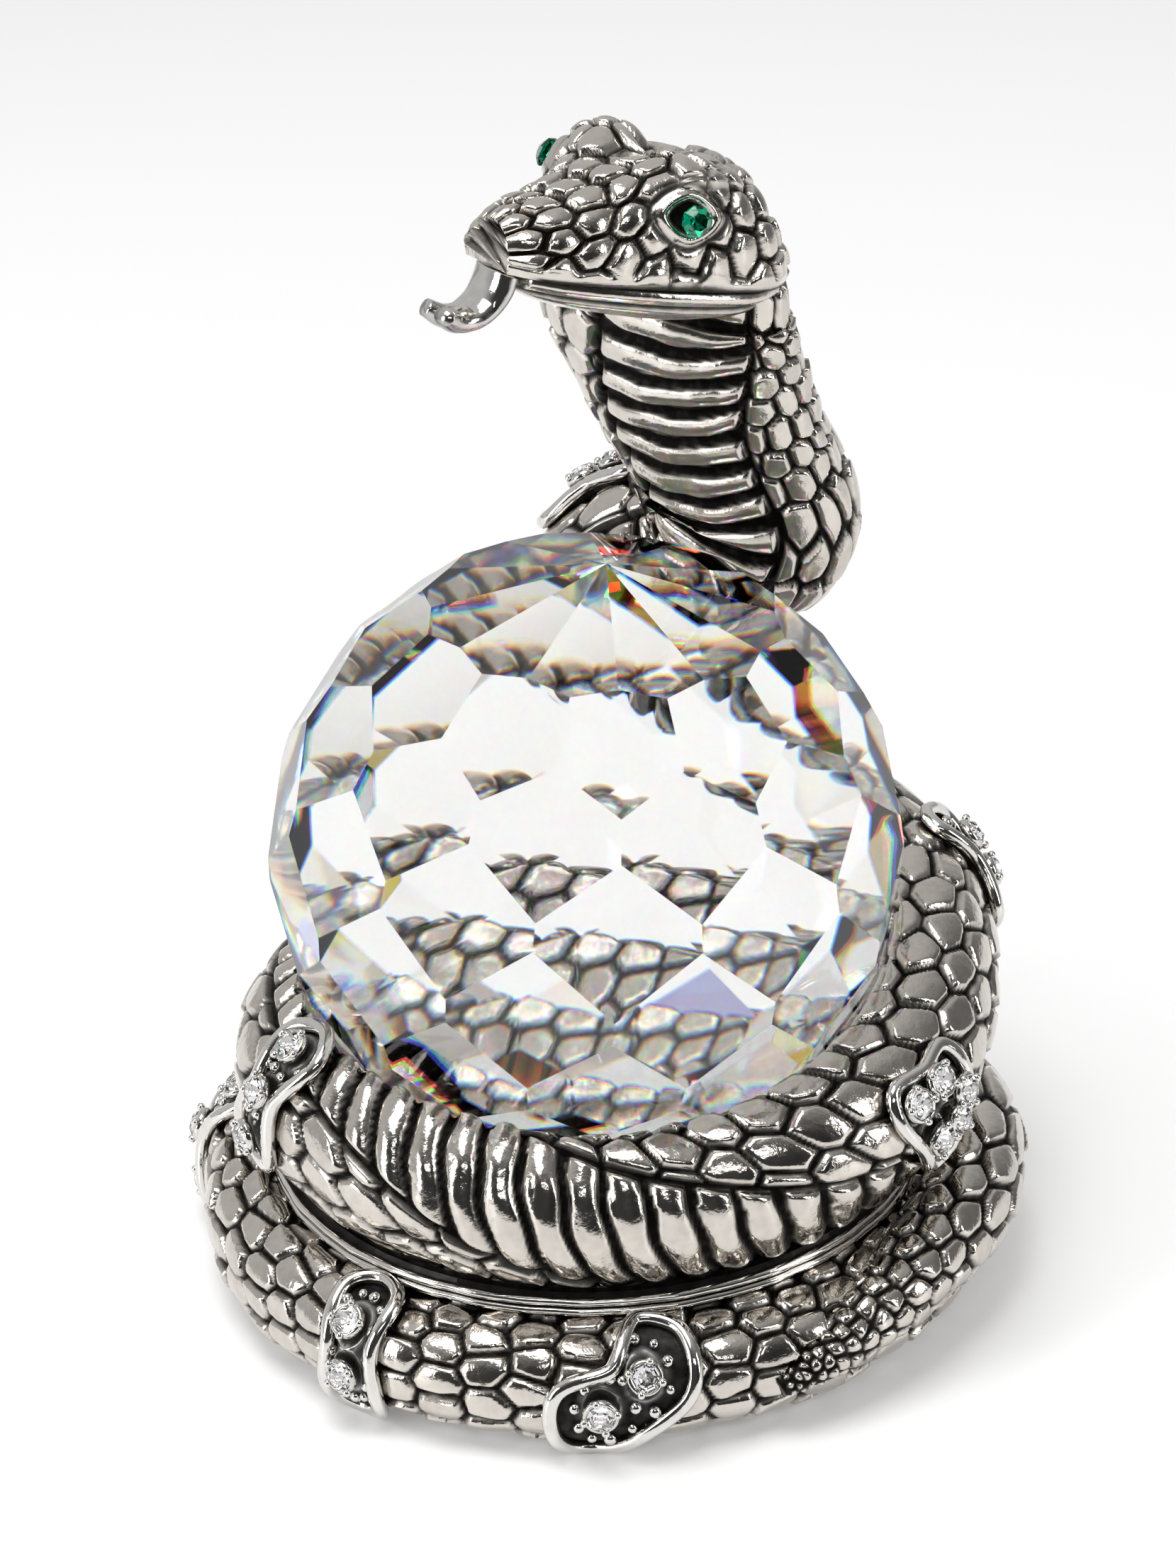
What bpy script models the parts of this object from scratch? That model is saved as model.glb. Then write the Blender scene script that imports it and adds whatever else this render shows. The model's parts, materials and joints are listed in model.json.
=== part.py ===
"""A crystal ball nested in a coiled cobra that stands on a hinged keepsake box.

The lower coil of the snake is a hollow box with a rim, and its tail lies on the outside.
The upper coil, the rising body, the hood and the head are the lid, which carries the ball.
The lid turns on a pin hinge at the back. Jewelled settings sit on both coils.

The numbers below are millimetres. Meshes are written in metres, +Z up. The origin is the
centre of the foot, and the front of the box faces -Y.
"""

import math

import bmesh
import bpy
import numpy as np
from mathutils import Matrix, Vector

MM = 0.001
GAP = 0.3  # space between two pieces that are soldered, glued or resting

# ---- ball ----
BALL_RADIUS = 29.9  # to the corners of its facets
FACETS_ROUND = 12
FACET_ROWS = (47.0, 29.5, 12.0, -5.5, -23.0, -40.5, -58.0)  # latitudes, degrees
FACET_REACH = 0.982  # of the radius, from the centre to the middle of a facet
POLE_LATITUDE = 73.0  # of the facets that meet in a point at each end
BALL_LEAN = 5.0  # degrees that the cut pattern leans to the right
BALL_TURN = 3.8  # degrees that it is turned about its own axis

# ---- box ----
BOX_RADIUS = 38.0  # outside of the lower coil
COIL_HALF_WIDTH = 8.2
COIL_HALF_HEIGHT = 5.8
COIL_FULLNESS = 2.5  # 2 is an ellipse, more is squarer
FOOT_HEIGHT = 0.3  # metal clear of the table, which the felt stands proud of
WALL = 2.2
SEAM_GAP = 0.2  # between the two rims
RIM_BEAD = 0.8  # height of each rim
RIM_WIDTH = 1.1
RIM_PROUD = 1.6  # outside the crown of the lower coil
NECK_WIDTH = 2.8
LID_THICKNESS = 1.2
LIP_DEPTH = 1.3
LIP_WALL = 0.7
LIP_CLEARANCE = 0.3

# ---- felt and magnets ----
FELT_RADIUS = 27.0
FELT_THICKNESS = 0.8
MAGNET_RADIUS = 0.8
MAGNET_LENGTH = 1.2

# ---- hinge ----
KNUCKLE_RADIUS = 1.5
PIN_RADIUS = 0.6
PIN_CLEARANCE = 0.25
KNUCKLE_LENGTH = 5.6
HINGE_RELIEF = 3.0  # radius cut out of the lower coil, so that the lid's leaf can turn
LEAF_HEIGHT = 2.3

# ---- stones ----
STONE_RADIUS = 1.4
EYE_RADIUS = 1.5
STONE_DEPTH = 0.7  # of its radius, below the girdle
SETTING_FLOOR = 0.5
SETTING_WIRE = 0.9  # width of the raised wire round a setting
SETTING_RISE = 1.5  # top of that wire above the coil

# ---- heights and radii that follow ----
RING_RADIUS = BOX_RADIUS - COIL_HALF_WIDTH
RING_HEIGHT = FOOT_HEIGHT + COIL_HALF_HEIGHT
BOX_TOP = RING_HEIGHT + COIL_HALF_HEIGHT
SEAM_Z = BOX_TOP + GAP + RIM_BEAD + SEAM_GAP / 2
RIM_OUTER = RING_RADIUS + RIM_PROUD
RIM_ROOM = RIM_OUTER + 0.3
RIM_INNER = RIM_OUTER - RIM_WIDTH
NECK_OUTER = RIM_INNER - 0.2
MOUTH_RADIUS = NECK_OUTER - NECK_WIDTH
NECK_MIDDLE = NECK_OUTER - NECK_WIDTH / 2
LID_BOTTOM = SEAM_Z + SEAM_GAP / 2
LID_TOP = LID_BOTTOM + LID_THICKNESS
BALL_CLEAR = 0.5
SNAKE_SIZE = BALL_RADIUS / 29.9  # the snake's rows are drawn for a ball of this radius
DRAWN_LID_TOP = 14.4  # and for a lid at this height
STONE_SIZE = STONE_RADIUS / 1.4  # the settings' outlines are drawn for stones of this radius
BALL_ROOM = 0.8  # round the ball, since some corners of the cut stand a little proud
BALL_Z = LID_TOP + BALL_CLEAR + BALL_RADIUS
HINGE_Y = RIM_OUTER + KNUCKLE_RADIUS + 0.1
HINGE_Z = SEAM_Z

# ---- the snake on the lid ----
# Each row: azimuth in degrees, distance out from the axis, height, half width, half
# thickness, the way its belly faces as an angle from straight outwards (0) through
# up (90) to straight inwards (180), and how far that is swung round the vertical.
BODY_PATH = (
    # round the foot of the ball
    (30, 27.0, 17.6, 3.2, 3.2, -90, 0),
    (50, 26.2, 18.8, 5.0, 5.0, -60, 0),
    (80, 25.2, 20.0, 6.6, 6.6, 0, 0),
    (120, 25.0, 21.4, 7.8, 7.8, 60, 0),
    (160, 25.4, 23.0, 8.8, 8.8, 95, 0),
    (195, 25.6, 23.5, 9.2, 9.2, 100, 0),
    (225, 25.3, 22.6, 9.0, 9.0, 75, 0),
    (250, 24.9, 21.4, 8.6, 8.6, 35, 0),
    (272, 24.7, 20.8, 8.3, 8.3, 4, 0),
    (295, 25.4, 21.2, 8.4, 8.4, -22, 0),
    (318, 27.1, 22.8, 8.7, 8.7, -52, 0),
    (340, 28.8, 25.0, 8.9, 8.9, -78, 0),
    (362, 30.2, 27.8, 8.9, 8.9, -90, 0),
    (380, 32.0, 29.6, 8.5, 8.5, -95, 0),
    # rising behind the ball
    (394, 33.0, 31.0, 8.1, 8.1, -95, 0),
    (409, 33.8, 33.2, 7.8, 7.8, -95, 0),
    (422, 34.2, 35.6, 7.6, 7.6, -95, 0),
    (433, 34.4, 38.0, 7.5, 7.5, -100, 0),
    (441.5, 34.6, 41.0, 7.4, 7.4, -120, 0),
    (446.5, 34.6, 45.2, 7.4, 7.4, -150, 0),
    # turning back to the right, above the strand behind the ball
    (447.5, 34.0, 50.0, 7.4, 7.4, -170, 0),
    (445.5, 32.8, 56.0, 7.5, 7.5, -180, 0),
    (438.5, 31.2, 60.0, 7.8, 7.6, -180, 0),
    (428.5, 30.4, 62.4, 8.0, 7.4, -180, 0),
    (421, 30.0, 65.0, 8.0, 7.2, -180, 0),
)
# The hood stands on the end of the arch. Its rows are like the body's.
HOOD_PATH = (
    (423.0, 29.4, 61.0, 8.6, 6.8, -180, 0),
    (418.8, 29.7, 64.8, 10.8, 7.2, -176, 0),
    (416.2, 29.6, 69.0, 12.0, 7.2, -172, 0),
    (416.8, 28.4, 72.8, 12.0, 7.0, -170, -2),
    (418.6, 26.5, 77.0, 12.2, 6.7, -166, -3),
    (420.2, 24.5, 81.6, 12.7, 6.4, -165, -4),
    (422.0, 22.4, 86.6, 13.4, 6.2, -165, -6),
    (423.2, 20.6, 91.2, 14.0, 6.0, -166, -8),
    (422.8, 19.6, 95.4, 13.5, 6.0, -168, -8),
    (419.8, 19.5, 99.2, 12.4, 6.0, -170, -6),
    (417.0, 19.8, 103.0, 10.8, 5.6, -172, -4),
)
RINGS_PER_ROW = 3
BODY_SIDES = 12
BODY_FULLNESS = 2.0
HOOD_ROOM = 0.6  # round the foot of the hood, where the arch is cut to it
# name, first row and last row
BODY_PIECES = (
    ("body_coil", 0, 13),
    ("body_riser", 13, 19),
    ("body_arch", 19, 24),
)

# ---- head ----
HEAD_PLACE = (10.9, 14.0, 99.1)  # between the corners of the mouth
HEAD_YAW = 38.0  # degrees from straight left towards the front
HEAD_PITCH = 15.0  # degrees that the snout is raised
# Each row: distance forward of the mouth's corners, half width, height, how square.
HEAD_SECTIONS = (
    (-7.0, 5.5, 5.5, 2.0),
    (-5.0, 8.6, 8.4, 2.2),
    (-1.0, 10.9, 10.6, 2.5),
    (4.0, 10.9, 12.2, 3.0),
    (9.0, 9.9, 13.4, 3.4),
    (12.5, 8.9, 11.4, 3.0),
    (17.0, 7.6, 8.4, 2.5),
    (20.6, 6.2, 6.6, 2.2),
    (22.6, 4.8, 5.6, 2.0),
    (24.0, 3.0, 4.4, 2.0),
)
JAW_SECTIONS = (
    (-4.5, 8.2, 3.4),
    (0.0, 10.2, 4.4),
    (6.0, 9.8, 4.6),
    (12.0, 8.2, 4.1),
    (17.4, 5.8, 3.3),
    (20.9, 3.0, 2.1),
)
EYE_PLACE = (9.5, 10.8, 7.2)  # forward, sideways, up
MOUTH_GAP = 0.3  # between the head's underside and the jaw
# The tongue. Each row: forward, to one side, up, half width, half thickness.
TONGUE_PATH = (
    (22.6, 0.1, -0.2, 1.5, 0.8),
    (22.9, 0.1, -1.8, 1.5, 0.8),
    (23.8, 0.1, -3.4, 1.4, 0.75),
    (25.4, 0.2, -4.5, 1.3, 0.7),
    (27.4, 0.7, -4.7, 0.9, 0.65),
    (29.2, 1.4, -4.0, 0.6, 0.5),
)

# ---- the lower coil's swell on the left: azimuth, and how far its centre stands out
# and up from the coil's, and its half width and half height over the coil's
FLANK_PATH = (
    (236, 0.0, 0.0, -0.2, -0.2),
    (215, 0.2, 0.4, 0.0, 0.3),
    (190, 0.4, 0.9, 0.1, 0.9),
    (165, 0.5, 1.2, 0.1, 1.2),
    (145, 0.4, 0.9, 0.0, 0.9),
    (125, 0.2, 0.3, -0.2, 0.2),
    (112, 0.0, 0.0, -0.3, -0.2),
)

# ---- tail on the lower coil: azimuth, distance out, height, half width ----
TAIL_PATH = (
    (76, -1.6, -1.0, 3.4),
    (54, 0.6, 0.6, 4.6),
    (28, 3.0, 2.8, 5.5),
    (4, 4.4, 3.8, 5.7),
    (-16, 4.8, 3.9, 5.2),
    (-33, 5.0, 3.6, 4.3),
    (-47, 5.6, 2.4, 3.3),
    (-58, 6.4, 0.6, 2.2),
    (-65, 6.8, -0.6, 1.1),
)

# ---- settings: outlines along and across the coil, and where their stones sit ----
OVAL = ((-7.2, 0.0), (-5.4, 3.4), (0.2, 3.0), (5.4, 3.6), (7.3, 0.2), (5.2, -3.6), (0.0, -3.5), (-5.4, -3.3))
PEANUT = ((-8.4, 0.0), (-6.2, 3.6), (0.0, 2.7), (5.8, 3.8), (8.5, 0.2), (6.0, -3.9), (0.2, -2.9), (-6.2, -3.5))
BEAN = ((-8.0, -0.6), (-5.8, 3.4), (0.4, 2.8), (5.2, 5.0), (8.4, 1.2), (6.4, -3.4), (0.0, -4.7), (-6.0, -4.5))
SHIELD = ((-5.4, 1.6), (-4.0, 4.8), (1.0, 4.8), (5.2, 4.8), (5.9, 0.6), (2.8, -4.6), (-1.4, -6.2), (-3.6, -2.6))
TWO_STONES = ((-2.2, 0.0), (2.5, 0.1))
CLOSE_STONES = ((-1.8, 0.0), (1.8, 0.1))
THREE_STONES = ((-4.8, 0.2), (0.0, -0.1), (4.7, 0.2))
FIVE_STONES = ((-2.4, 2.2), (1.2, 2.6), (3.4, 0.2), (-1.2, -1.8), (1.5, -1.5))
# name, outline, stones, azimuth, angle up the coil's section, turn of the outline
BASE_SETTINGS = (
    ("front", BEAN, TWO_STONES, 272, 11, 28),
    ("front_left", OVAL, CLOSE_STONES, 231, 14.5, 94),
    ("rear_left", OVAL, CLOSE_STONES, 97, -2, 6),
)
FLANK_SETTINGS = (
    ("left", PEANUT, THREE_STONES, 8.6, 16, 90),
    ("rear", OVAL, CLOSE_STONES, 15.0, 8, 20),
)
# name, outline, stones, row of the body's path, angle up, turn
LID_SETTINGS = (
    ("coil_left", PEANUT, THREE_STONES, 5.3, 25, 82),
    ("coil_right", SHIELD, FIVE_STONES, 10.6, 12, 0),
    ("riser_right", OVAL, CLOSE_STONES, 13.3, 24, 62),
    ("arch_top", OVAL, CLOSE_STONES, 21.9, 66, 0),
)

# What turns with the lid, by the start of its name.
LID_PIECES = (
    "lid_",
    "hinge_knuckle_lid",
    "crystal_ball",
    "ball_seat_ring",
    "body_",
    "hood",
    "head",
    "jaw",
    "tongue",
    "eye_",
    *(f"{kind}_{row[0]}" for kind in ("setting", "stone") for row in LID_SETTINGS),
)


# ------------------------------------------------------------------ helpers


def clear_scene():
    for obj in list(bpy.data.objects):
        bpy.data.objects.remove(obj)


def collection(name, hidden=False):
    made = bpy.data.collections.new(name)
    bpy.context.scene.collection.children.link(made)
    made.hide_render = hidden
    return made


def material(name, colour, roughness, metallic, transmission=0.0):
    made = bpy.data.materials.new(name)
    made.use_nodes = True
    shader = made.node_tree.nodes["Principled BSDF"]
    shader.inputs["Base Color"].default_value = (*colour, 1.0)
    shader.inputs["Roughness"].default_value = roughness
    shader.inputs["Metallic"].default_value = metallic
    shader.inputs["Transmission Weight"].default_value = transmission
    return made


def new_object(name, mesh, look, place):
    made = bpy.data.objects.new(name, mesh)
    place.objects.link(made)
    if look and not mesh.materials:
        mesh.materials.append(look)
    return made


def mesh_of(name, points, faces, smooth=True):
    """A mesh from points in millimetres."""
    mesh = bpy.data.meshes.new(name)
    mesh.from_pydata([tuple(float(c) * MM for c in p) for p in points], [], faces)
    work = bmesh.new()
    work.from_mesh(mesh)
    bmesh.ops.recalc_face_normals(work, faces=work.faces)
    work.to_mesh(mesh)
    work.free()
    if smooth:
        mesh.shade_smooth()
        mesh.set_sharp_from_angle(angle=math.radians(40))
    return mesh


def turned(name, profile, look, place, steps=40):
    """A solid of revolution about Z. The profile runs from its top down the outer side."""
    mesh = bpy.data.meshes.new(name)
    closed = profile[0][0] > 0
    count = len(profile)
    edges = [(i, i + 1) for i in range(count - 1)] + ([(count - 1, 0)] if closed else [])
    mesh.from_pydata([(r * MM, 0, z * MM) for r, z in profile], edges, [])
    made = new_object(name, mesh, look, place)
    screw = made.modifiers.new("Turn", "SCREW")
    screw.steps = screw.render_steps = steps
    screw.use_merge_vertices = True
    screw.merge_threshold = 1e-6
    screw.use_smooth_shade = True
    return made


def boolean(target, cutter, operation="DIFFERENCE", solver="EXACT"):
    cut = target.modifiers.new(operation.title() + "_" + cutter.name, "BOOLEAN")
    cut.operation = operation
    cut.object = cutter
    cut.solver = solver


def hide(obj):
    obj.hide_render = True
    obj.display_type = "WIRE"
    return obj


def box(name, low, high, look, place):
    work = bmesh.new()
    bmesh.ops.create_cube(work, size=1.0)
    size = [(high[k] - low[k]) * MM for k in range(3)]
    middle = [(high[k] + low[k]) / 2 * MM for k in range(3)]
    bmesh.ops.scale(work, vec=size, verts=work.verts)
    bmesh.ops.translate(work, vec=middle, verts=work.verts)
    mesh = bpy.data.meshes.new(name)
    work.to_mesh(mesh)
    work.free()
    return new_object(name, mesh, look, place)


def rod(name, radius, low_x, high_x, y, z, look, place, sides=20):
    """A cylinder that lies along X."""
    work = bmesh.new()
    turn = Matrix.Rotation(math.radians(90), 4, "Y")
    bmesh.ops.create_cone(
        work,
        cap_ends=True,
        segments=sides,
        radius1=radius * MM,
        radius2=radius * MM,
        depth=(high_x - low_x) * MM,
        matrix=turn,
    )
    mesh = bpy.data.meshes.new(name)
    work.to_mesh(mesh)
    work.free()
    mesh.shade_smooth()
    mesh.set_sharp_from_angle(angle=math.radians(40))
    made = new_object(name, mesh, look, place)
    made.location = ((low_x + high_x) / 2 * MM, y * MM, z * MM)
    return made


def loft(name, rings, look, place):
    """A closed solid through rings of equally many points, with flat ends."""
    sides = len(rings[0])
    points = [p for ring in rings for p in ring]
    faces = []
    for i in range(len(rings) - 1):
        for j in range(sides):
            k = (j + 1) % sides
            faces.append((i * sides + j, i * sides + k, (i + 1) * sides + k, (i + 1) * sides + j))
    faces.append(tuple(range(sides))[::-1])
    faces.append(tuple((len(rings) - 1) * sides + j for j in range(sides)))
    return new_object(name, mesh_of(name, points, faces), look, place)


def smooth_rows(rows, count):
    """Catmull-Rom through the rows of an array, sampled at count even steps of parameter."""
    rows = np.asarray(rows, float)
    ends = np.vstack([2 * rows[0] - rows[1], rows, 2 * rows[-1] - rows[-2]])
    found = []
    for t in np.linspace(0, len(rows) - 1, count):
        i = min(int(t), len(rows) - 2)
        f = t - i
        a, b, c, d = ends[i : i + 4]
        found.append(
            0.5 * (2 * b + (c - a) * f + (2 * a - 5 * b + 4 * c - d) * f**2 + (3 * b - a - 3 * c + d) * f**3)
        )
    return np.array(found)


def unit(v):
    v = np.asarray(v, float)
    return v / np.linalg.norm(v)


# ------------------------------------------------------------------ the snake's path


def from_lid(point):
    """Places a drawn point of the snake for this ball and this height of the lid."""
    x, y, z = point
    return np.array((x * SNAKE_SIZE, y * SNAKE_SIZE, LID_TOP + (z - DRAWN_LID_TOP) * SNAKE_SIZE))


def path_of(rows):
    """Centres, half widths, half thicknesses, belly directions and fullness."""
    fine = smooth_rows(rows, (len(rows) - 1) * RINGS_PER_ROW + 1)
    centres, bellies = [], []
    for azimuth, out, height, _, _, belly, swing in fine:
        a, b, c = np.radians((azimuth, belly, azimuth + swing))
        centres.append(from_lid((out * math.cos(a), out * math.sin(a), height)))
        bellies.append((math.cos(c) * math.cos(b), math.sin(c) * math.cos(b), math.sin(b)))
    sizes = fine[:, 3:5] * SNAKE_SIZE
    return np.array(centres), sizes[:, 0], sizes[:, 1], np.array(bellies), BODY_FULLNESS


def sections(path, sides):
    """Rings of points round a path. The first point of each lies on the back, away from the belly."""
    centres, wide, thick, bellies, fullness = path
    rings = []
    tangents = np.gradient(centres, axis=0)
    for centre, w, h, belly, along in zip(centres, wide, thick, bellies, tangents):
        along = unit(along)
        down = unit(belly - along * float(belly @ along))
        side = np.cross(along, down)
        ring = []
        for k in range(sides):
            angle = 2 * math.pi * k / sides
            c, s = (bent(value, fullness) for value in (math.cos(angle), math.sin(angle)))
            ring.append(centre - down * h * c + side * w * s)
        rings.append(np.array(ring))
    return rings


def lengthened(rings):
    """The rings with the first moved back a little along the path."""
    back = rings[0].mean(axis=0) - rings[1].mean(axis=0)
    return [rings[0] + unit(back) * HOOD_ROOM, *rings[1:]]


def piece_of_body(path, first, last, sides):
    """The rings of one piece. Its ends step back, which leaves a gap at each joint."""
    start, end = first * RINGS_PER_ROW, last * RINGS_PER_ROW
    rings = sections(path, sides)[start : end + 1]
    tangents = np.gradient(path[0], axis=0)
    if start > 0:
        rings[0] = rings[0] + unit(tangents[start]) * GAP / 2
    if end < len(path[0]) - 1:
        rings[-1] = rings[-1] - unit(tangents[end]) * GAP / 2
    return rings


# ------------------------------------------------------------------ box


def bent(value, fullness):
    """A sine or cosine made squarer, for a section between an ellipse and a box."""
    return math.copysign(abs(value) ** (2 / fullness), value)


def coil_profile(grow=0.0, count=13):
    """The outside of the lower coil, from its crown down to its foot."""
    rows = []
    for k in range(count):
        a = math.pi / 2 - math.pi * k / (count - 1)
        rows.append(
            (
                RING_RADIUS + (COIL_HALF_WIDTH + grow) * bent(math.cos(a), COIL_FULLNESS),
                RING_HEIGHT + (COIL_HALF_HEIGHT + grow) * bent(math.sin(a), COIL_FULLNESS),
            )
        )
    return rows


def flank_path():
    fine = smooth_rows(FLANK_PATH, 19)
    turns = np.radians(fine[:, 0])
    out, height = RING_RADIUS + fine[:, 1], RING_HEIGHT + fine[:, 2]
    centres = np.stack((out * np.cos(turns), out * np.sin(turns), height), 1)
    bellies = np.tile((0.0, 0.0, -1.0), (len(fine), 1))
    return centres, COIL_HALF_WIDTH + fine[:, 3], COIL_HALF_HEIGHT + fine[:, 4], bellies, COIL_FULLNESS


def make_box(look, place, cutters):
    floor_top = FOOT_HEIGHT + WALL
    recess = FELT_THICKNESS + GAP
    neck_top = SEAM_Z - SEAM_GAP / 2
    cavity_radius = BOX_RADIUS - WALL
    outside = [
        (0, neck_top),
        (NECK_OUTER, neck_top),
        (NECK_OUTER, BOX_TOP),
        *coil_profile(),
        (FELT_RADIUS + GAP, FOOT_HEIGHT),
        (FELT_RADIUS + GAP, recess),
        (0, recess),
    ]
    cavity = [
        (0, neck_top + 1.0),
        (MOUTH_RADIUS, neck_top + 1.0),
        (MOUTH_RADIUS, BOX_TOP - WALL + 0.8),
        (MOUTH_RADIUS + 1.6, BOX_TOP - WALL - 0.2),
        (cavity_radius - 2.4, BOX_TOP - WALL - 2.0),
        (cavity_radius - 0.6, RING_HEIGHT - 0.6),
        (cavity_radius - 1.6, floor_top + 1.2),
        (RING_RADIUS + 1.0, floor_top),
        (0, floor_top),
    ]
    made = turned("base_box", outside, look, place)
    flank = hide(loft("flank", sections(flank_path(), 16), None, cutters))
    rim_room = [(0, 3 * BOX_TOP), (RIM_ROOM, 3 * BOX_TOP), (RIM_ROOM, -BOX_TOP), (0, -BOX_TOP)]
    boolean(flank, hide(turned("rim_room_cutter", rim_room, None, cutters)))
    boolean(made, flank, "UNION")
    boolean(made, hide(turned("cavity_cutter", cavity, None, cutters)))
    half = 1.5 * KNUCKLE_LENGTH + 1.2
    relief = rod("hinge_relief_cutter", HINGE_RELIEF, -half, half, HINGE_Y, HINGE_Z, None, cutters)
    boolean(made, hide(relief))
    boolean(made, magnet_hole("base_magnet_cutter", neck_top, -1, cutters))
    return made


def magnet_hole(name, face_z, way, cutters):
    deep = MAGNET_LENGTH + GAP
    low, high = sorted((face_z + way * deep, face_z - way * 0.5))
    work = bmesh.new()
    bmesh.ops.create_cone(
        work,
        cap_ends=True,
        segments=16,
        radius1=(MAGNET_RADIUS + GAP) * MM,
        radius2=(MAGNET_RADIUS + GAP) * MM,
        depth=(high - low) * MM,
    )
    mesh = bpy.data.meshes.new(name)
    work.to_mesh(mesh)
    work.free()
    made = hide(new_object(name, mesh, None, cutters))
    made.location = (0, -NECK_MIDDLE * MM, (low + high) / 2 * MM)
    return made


def make_magnet(name, face_z, way, look, place):
    low, high = sorted((face_z, face_z + way * MAGNET_LENGTH))
    profile = [(0, high), (MAGNET_RADIUS, high), (MAGNET_RADIUS, low), (0, low)]
    made = turned(name, profile, look, place, steps=16)
    made.location = (0, -NECK_MIDDLE * MM, 0)
    return made


def make_rim(name, low, look, place):
    """A half-round bead on a ring."""
    rows = [(RIM_INNER, low + RIM_BEAD)]
    for k in range(5):
        a = math.radians(90 - 45 * k)
        rows.append(
            (
                RIM_OUTER - RIM_BEAD / 2 + RIM_BEAD / 2 * math.cos(a),
                low + RIM_BEAD / 2 + RIM_BEAD / 2 * math.sin(a),
            )
        )
    rows.append((RIM_INNER, low))
    return turned(name, rows, look, place)


def make_lid_plate(look, place, cutters):
    lip_outer = MOUTH_RADIUS - LIP_CLEARANCE
    lip_inner = lip_outer - LIP_WALL
    profile = [
        (0, LID_TOP),
        (NECK_OUTER, LID_TOP),
        (NECK_OUTER, LID_BOTTOM),
        (lip_outer, LID_BOTTOM),
        (lip_outer, LID_BOTTOM - LIP_DEPTH),
        (lip_inner, LID_BOTTOM - LIP_DEPTH),
        (lip_inner, LID_BOTTOM),
        (0, LID_BOTTOM),
    ]
    made = turned("lid_plate", profile, look, place)
    boolean(made, magnet_hole("lid_magnet_cutter", LID_BOTTOM, 1, cutters))
    return made


def make_tail(look, place, cutters):
    rows = smooth_rows(TAIL_PATH, 25)
    rings = []
    centres = []
    for azimuth, out, up, _ in rows:
        a = math.radians(azimuth)
        r = RING_RADIUS + out + 1.6
        centres.append((r * math.cos(a), r * math.sin(a), RING_HEIGHT + up))
    centres = np.array(centres)
    along = np.gradient(centres, axis=0)
    for centre, t, row in zip(centres, along, rows):
        t = unit(t)
        side = unit(np.cross((0, 0, 1), t))
        up = np.cross(t, side)
        ring = []
        for k in range(10):
            a = 2 * math.pi * k / 10
            ring.append(centre + row[3] * (side * math.cos(a) + up * math.sin(a)))
        rings.append(ring)
    made = loft("tail", rings, look, place)
    room = [row for row in coil_profile(grow=GAP + 0.1) if row[0] > RIM_ROOM]
    crown = [(RING_RADIUS - 6.0, 2 * LID_TOP), (RIM_ROOM, 2 * LID_TOP), (RIM_ROOM, room[0][1])]
    heel = [(RING_RADIUS - 6.0, FOOT_HEIGHT - GAP - 0.1)]
    cutter = hide(turned("tail_cutter", crown + room + heel, None, cutters))
    boolean(made, cutter)
    return made


# ------------------------------------------------------------------ hinge


def make_knuckle(name, low_x, high_x, leaf_low, leaf_high, look, place, cutters):
    made = rod(name, KNUCKLE_RADIUS, low_x, high_x, 0, 0, look, place)
    inner = RIM_OUTER + GAP - HINGE_Y
    leaf = hide(
        box(
            name + "_leaf",
            (low_x, inner, leaf_low - HINGE_Z),
            (high_x, inner + 2.0, leaf_high - HINGE_Z),
            None,
            cutters,
        )
    )
    bore = hide(
        rod(name + "_bore", PIN_RADIUS + PIN_CLEARANCE, low_x - 1, high_x + 1, 0, 0, None, cutters)
    )
    for helper in (leaf, bore):
        helper.location += Vector((0, HINGE_Y * MM, HINGE_Z * MM))
    made.location += Vector((0, HINGE_Y * MM, HINGE_Z * MM))
    boolean(made, leaf, "UNION")
    boolean(made, bore)
    return made


def make_hinge(look, pin_look, place, cutters):
    half = KNUCKLE_LENGTH / 2
    base_leaf = (HINGE_Z - LEAF_HEIGHT, HINGE_Z)
    lid_leaf = (HINGE_Z, HINGE_Z + LEAF_HEIGHT)
    make_knuckle("hinge_knuckle_lid", -half, half, *lid_leaf, look, place, cutters)
    near, far = half + GAP, half + GAP + KNUCKLE_LENGTH
    make_knuckle("hinge_knuckle_left", -far, -near, *base_leaf, look, place, cutters)
    make_knuckle("hinge_knuckle_right", near, far, *base_leaf, look, place, cutters)
    rod("hinge_pin", PIN_RADIUS, -far - 0.3, far + 0.3, HINGE_Y, HINGE_Z, pin_look, place, sides=12)


# ------------------------------------------------------------------ ball


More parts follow.
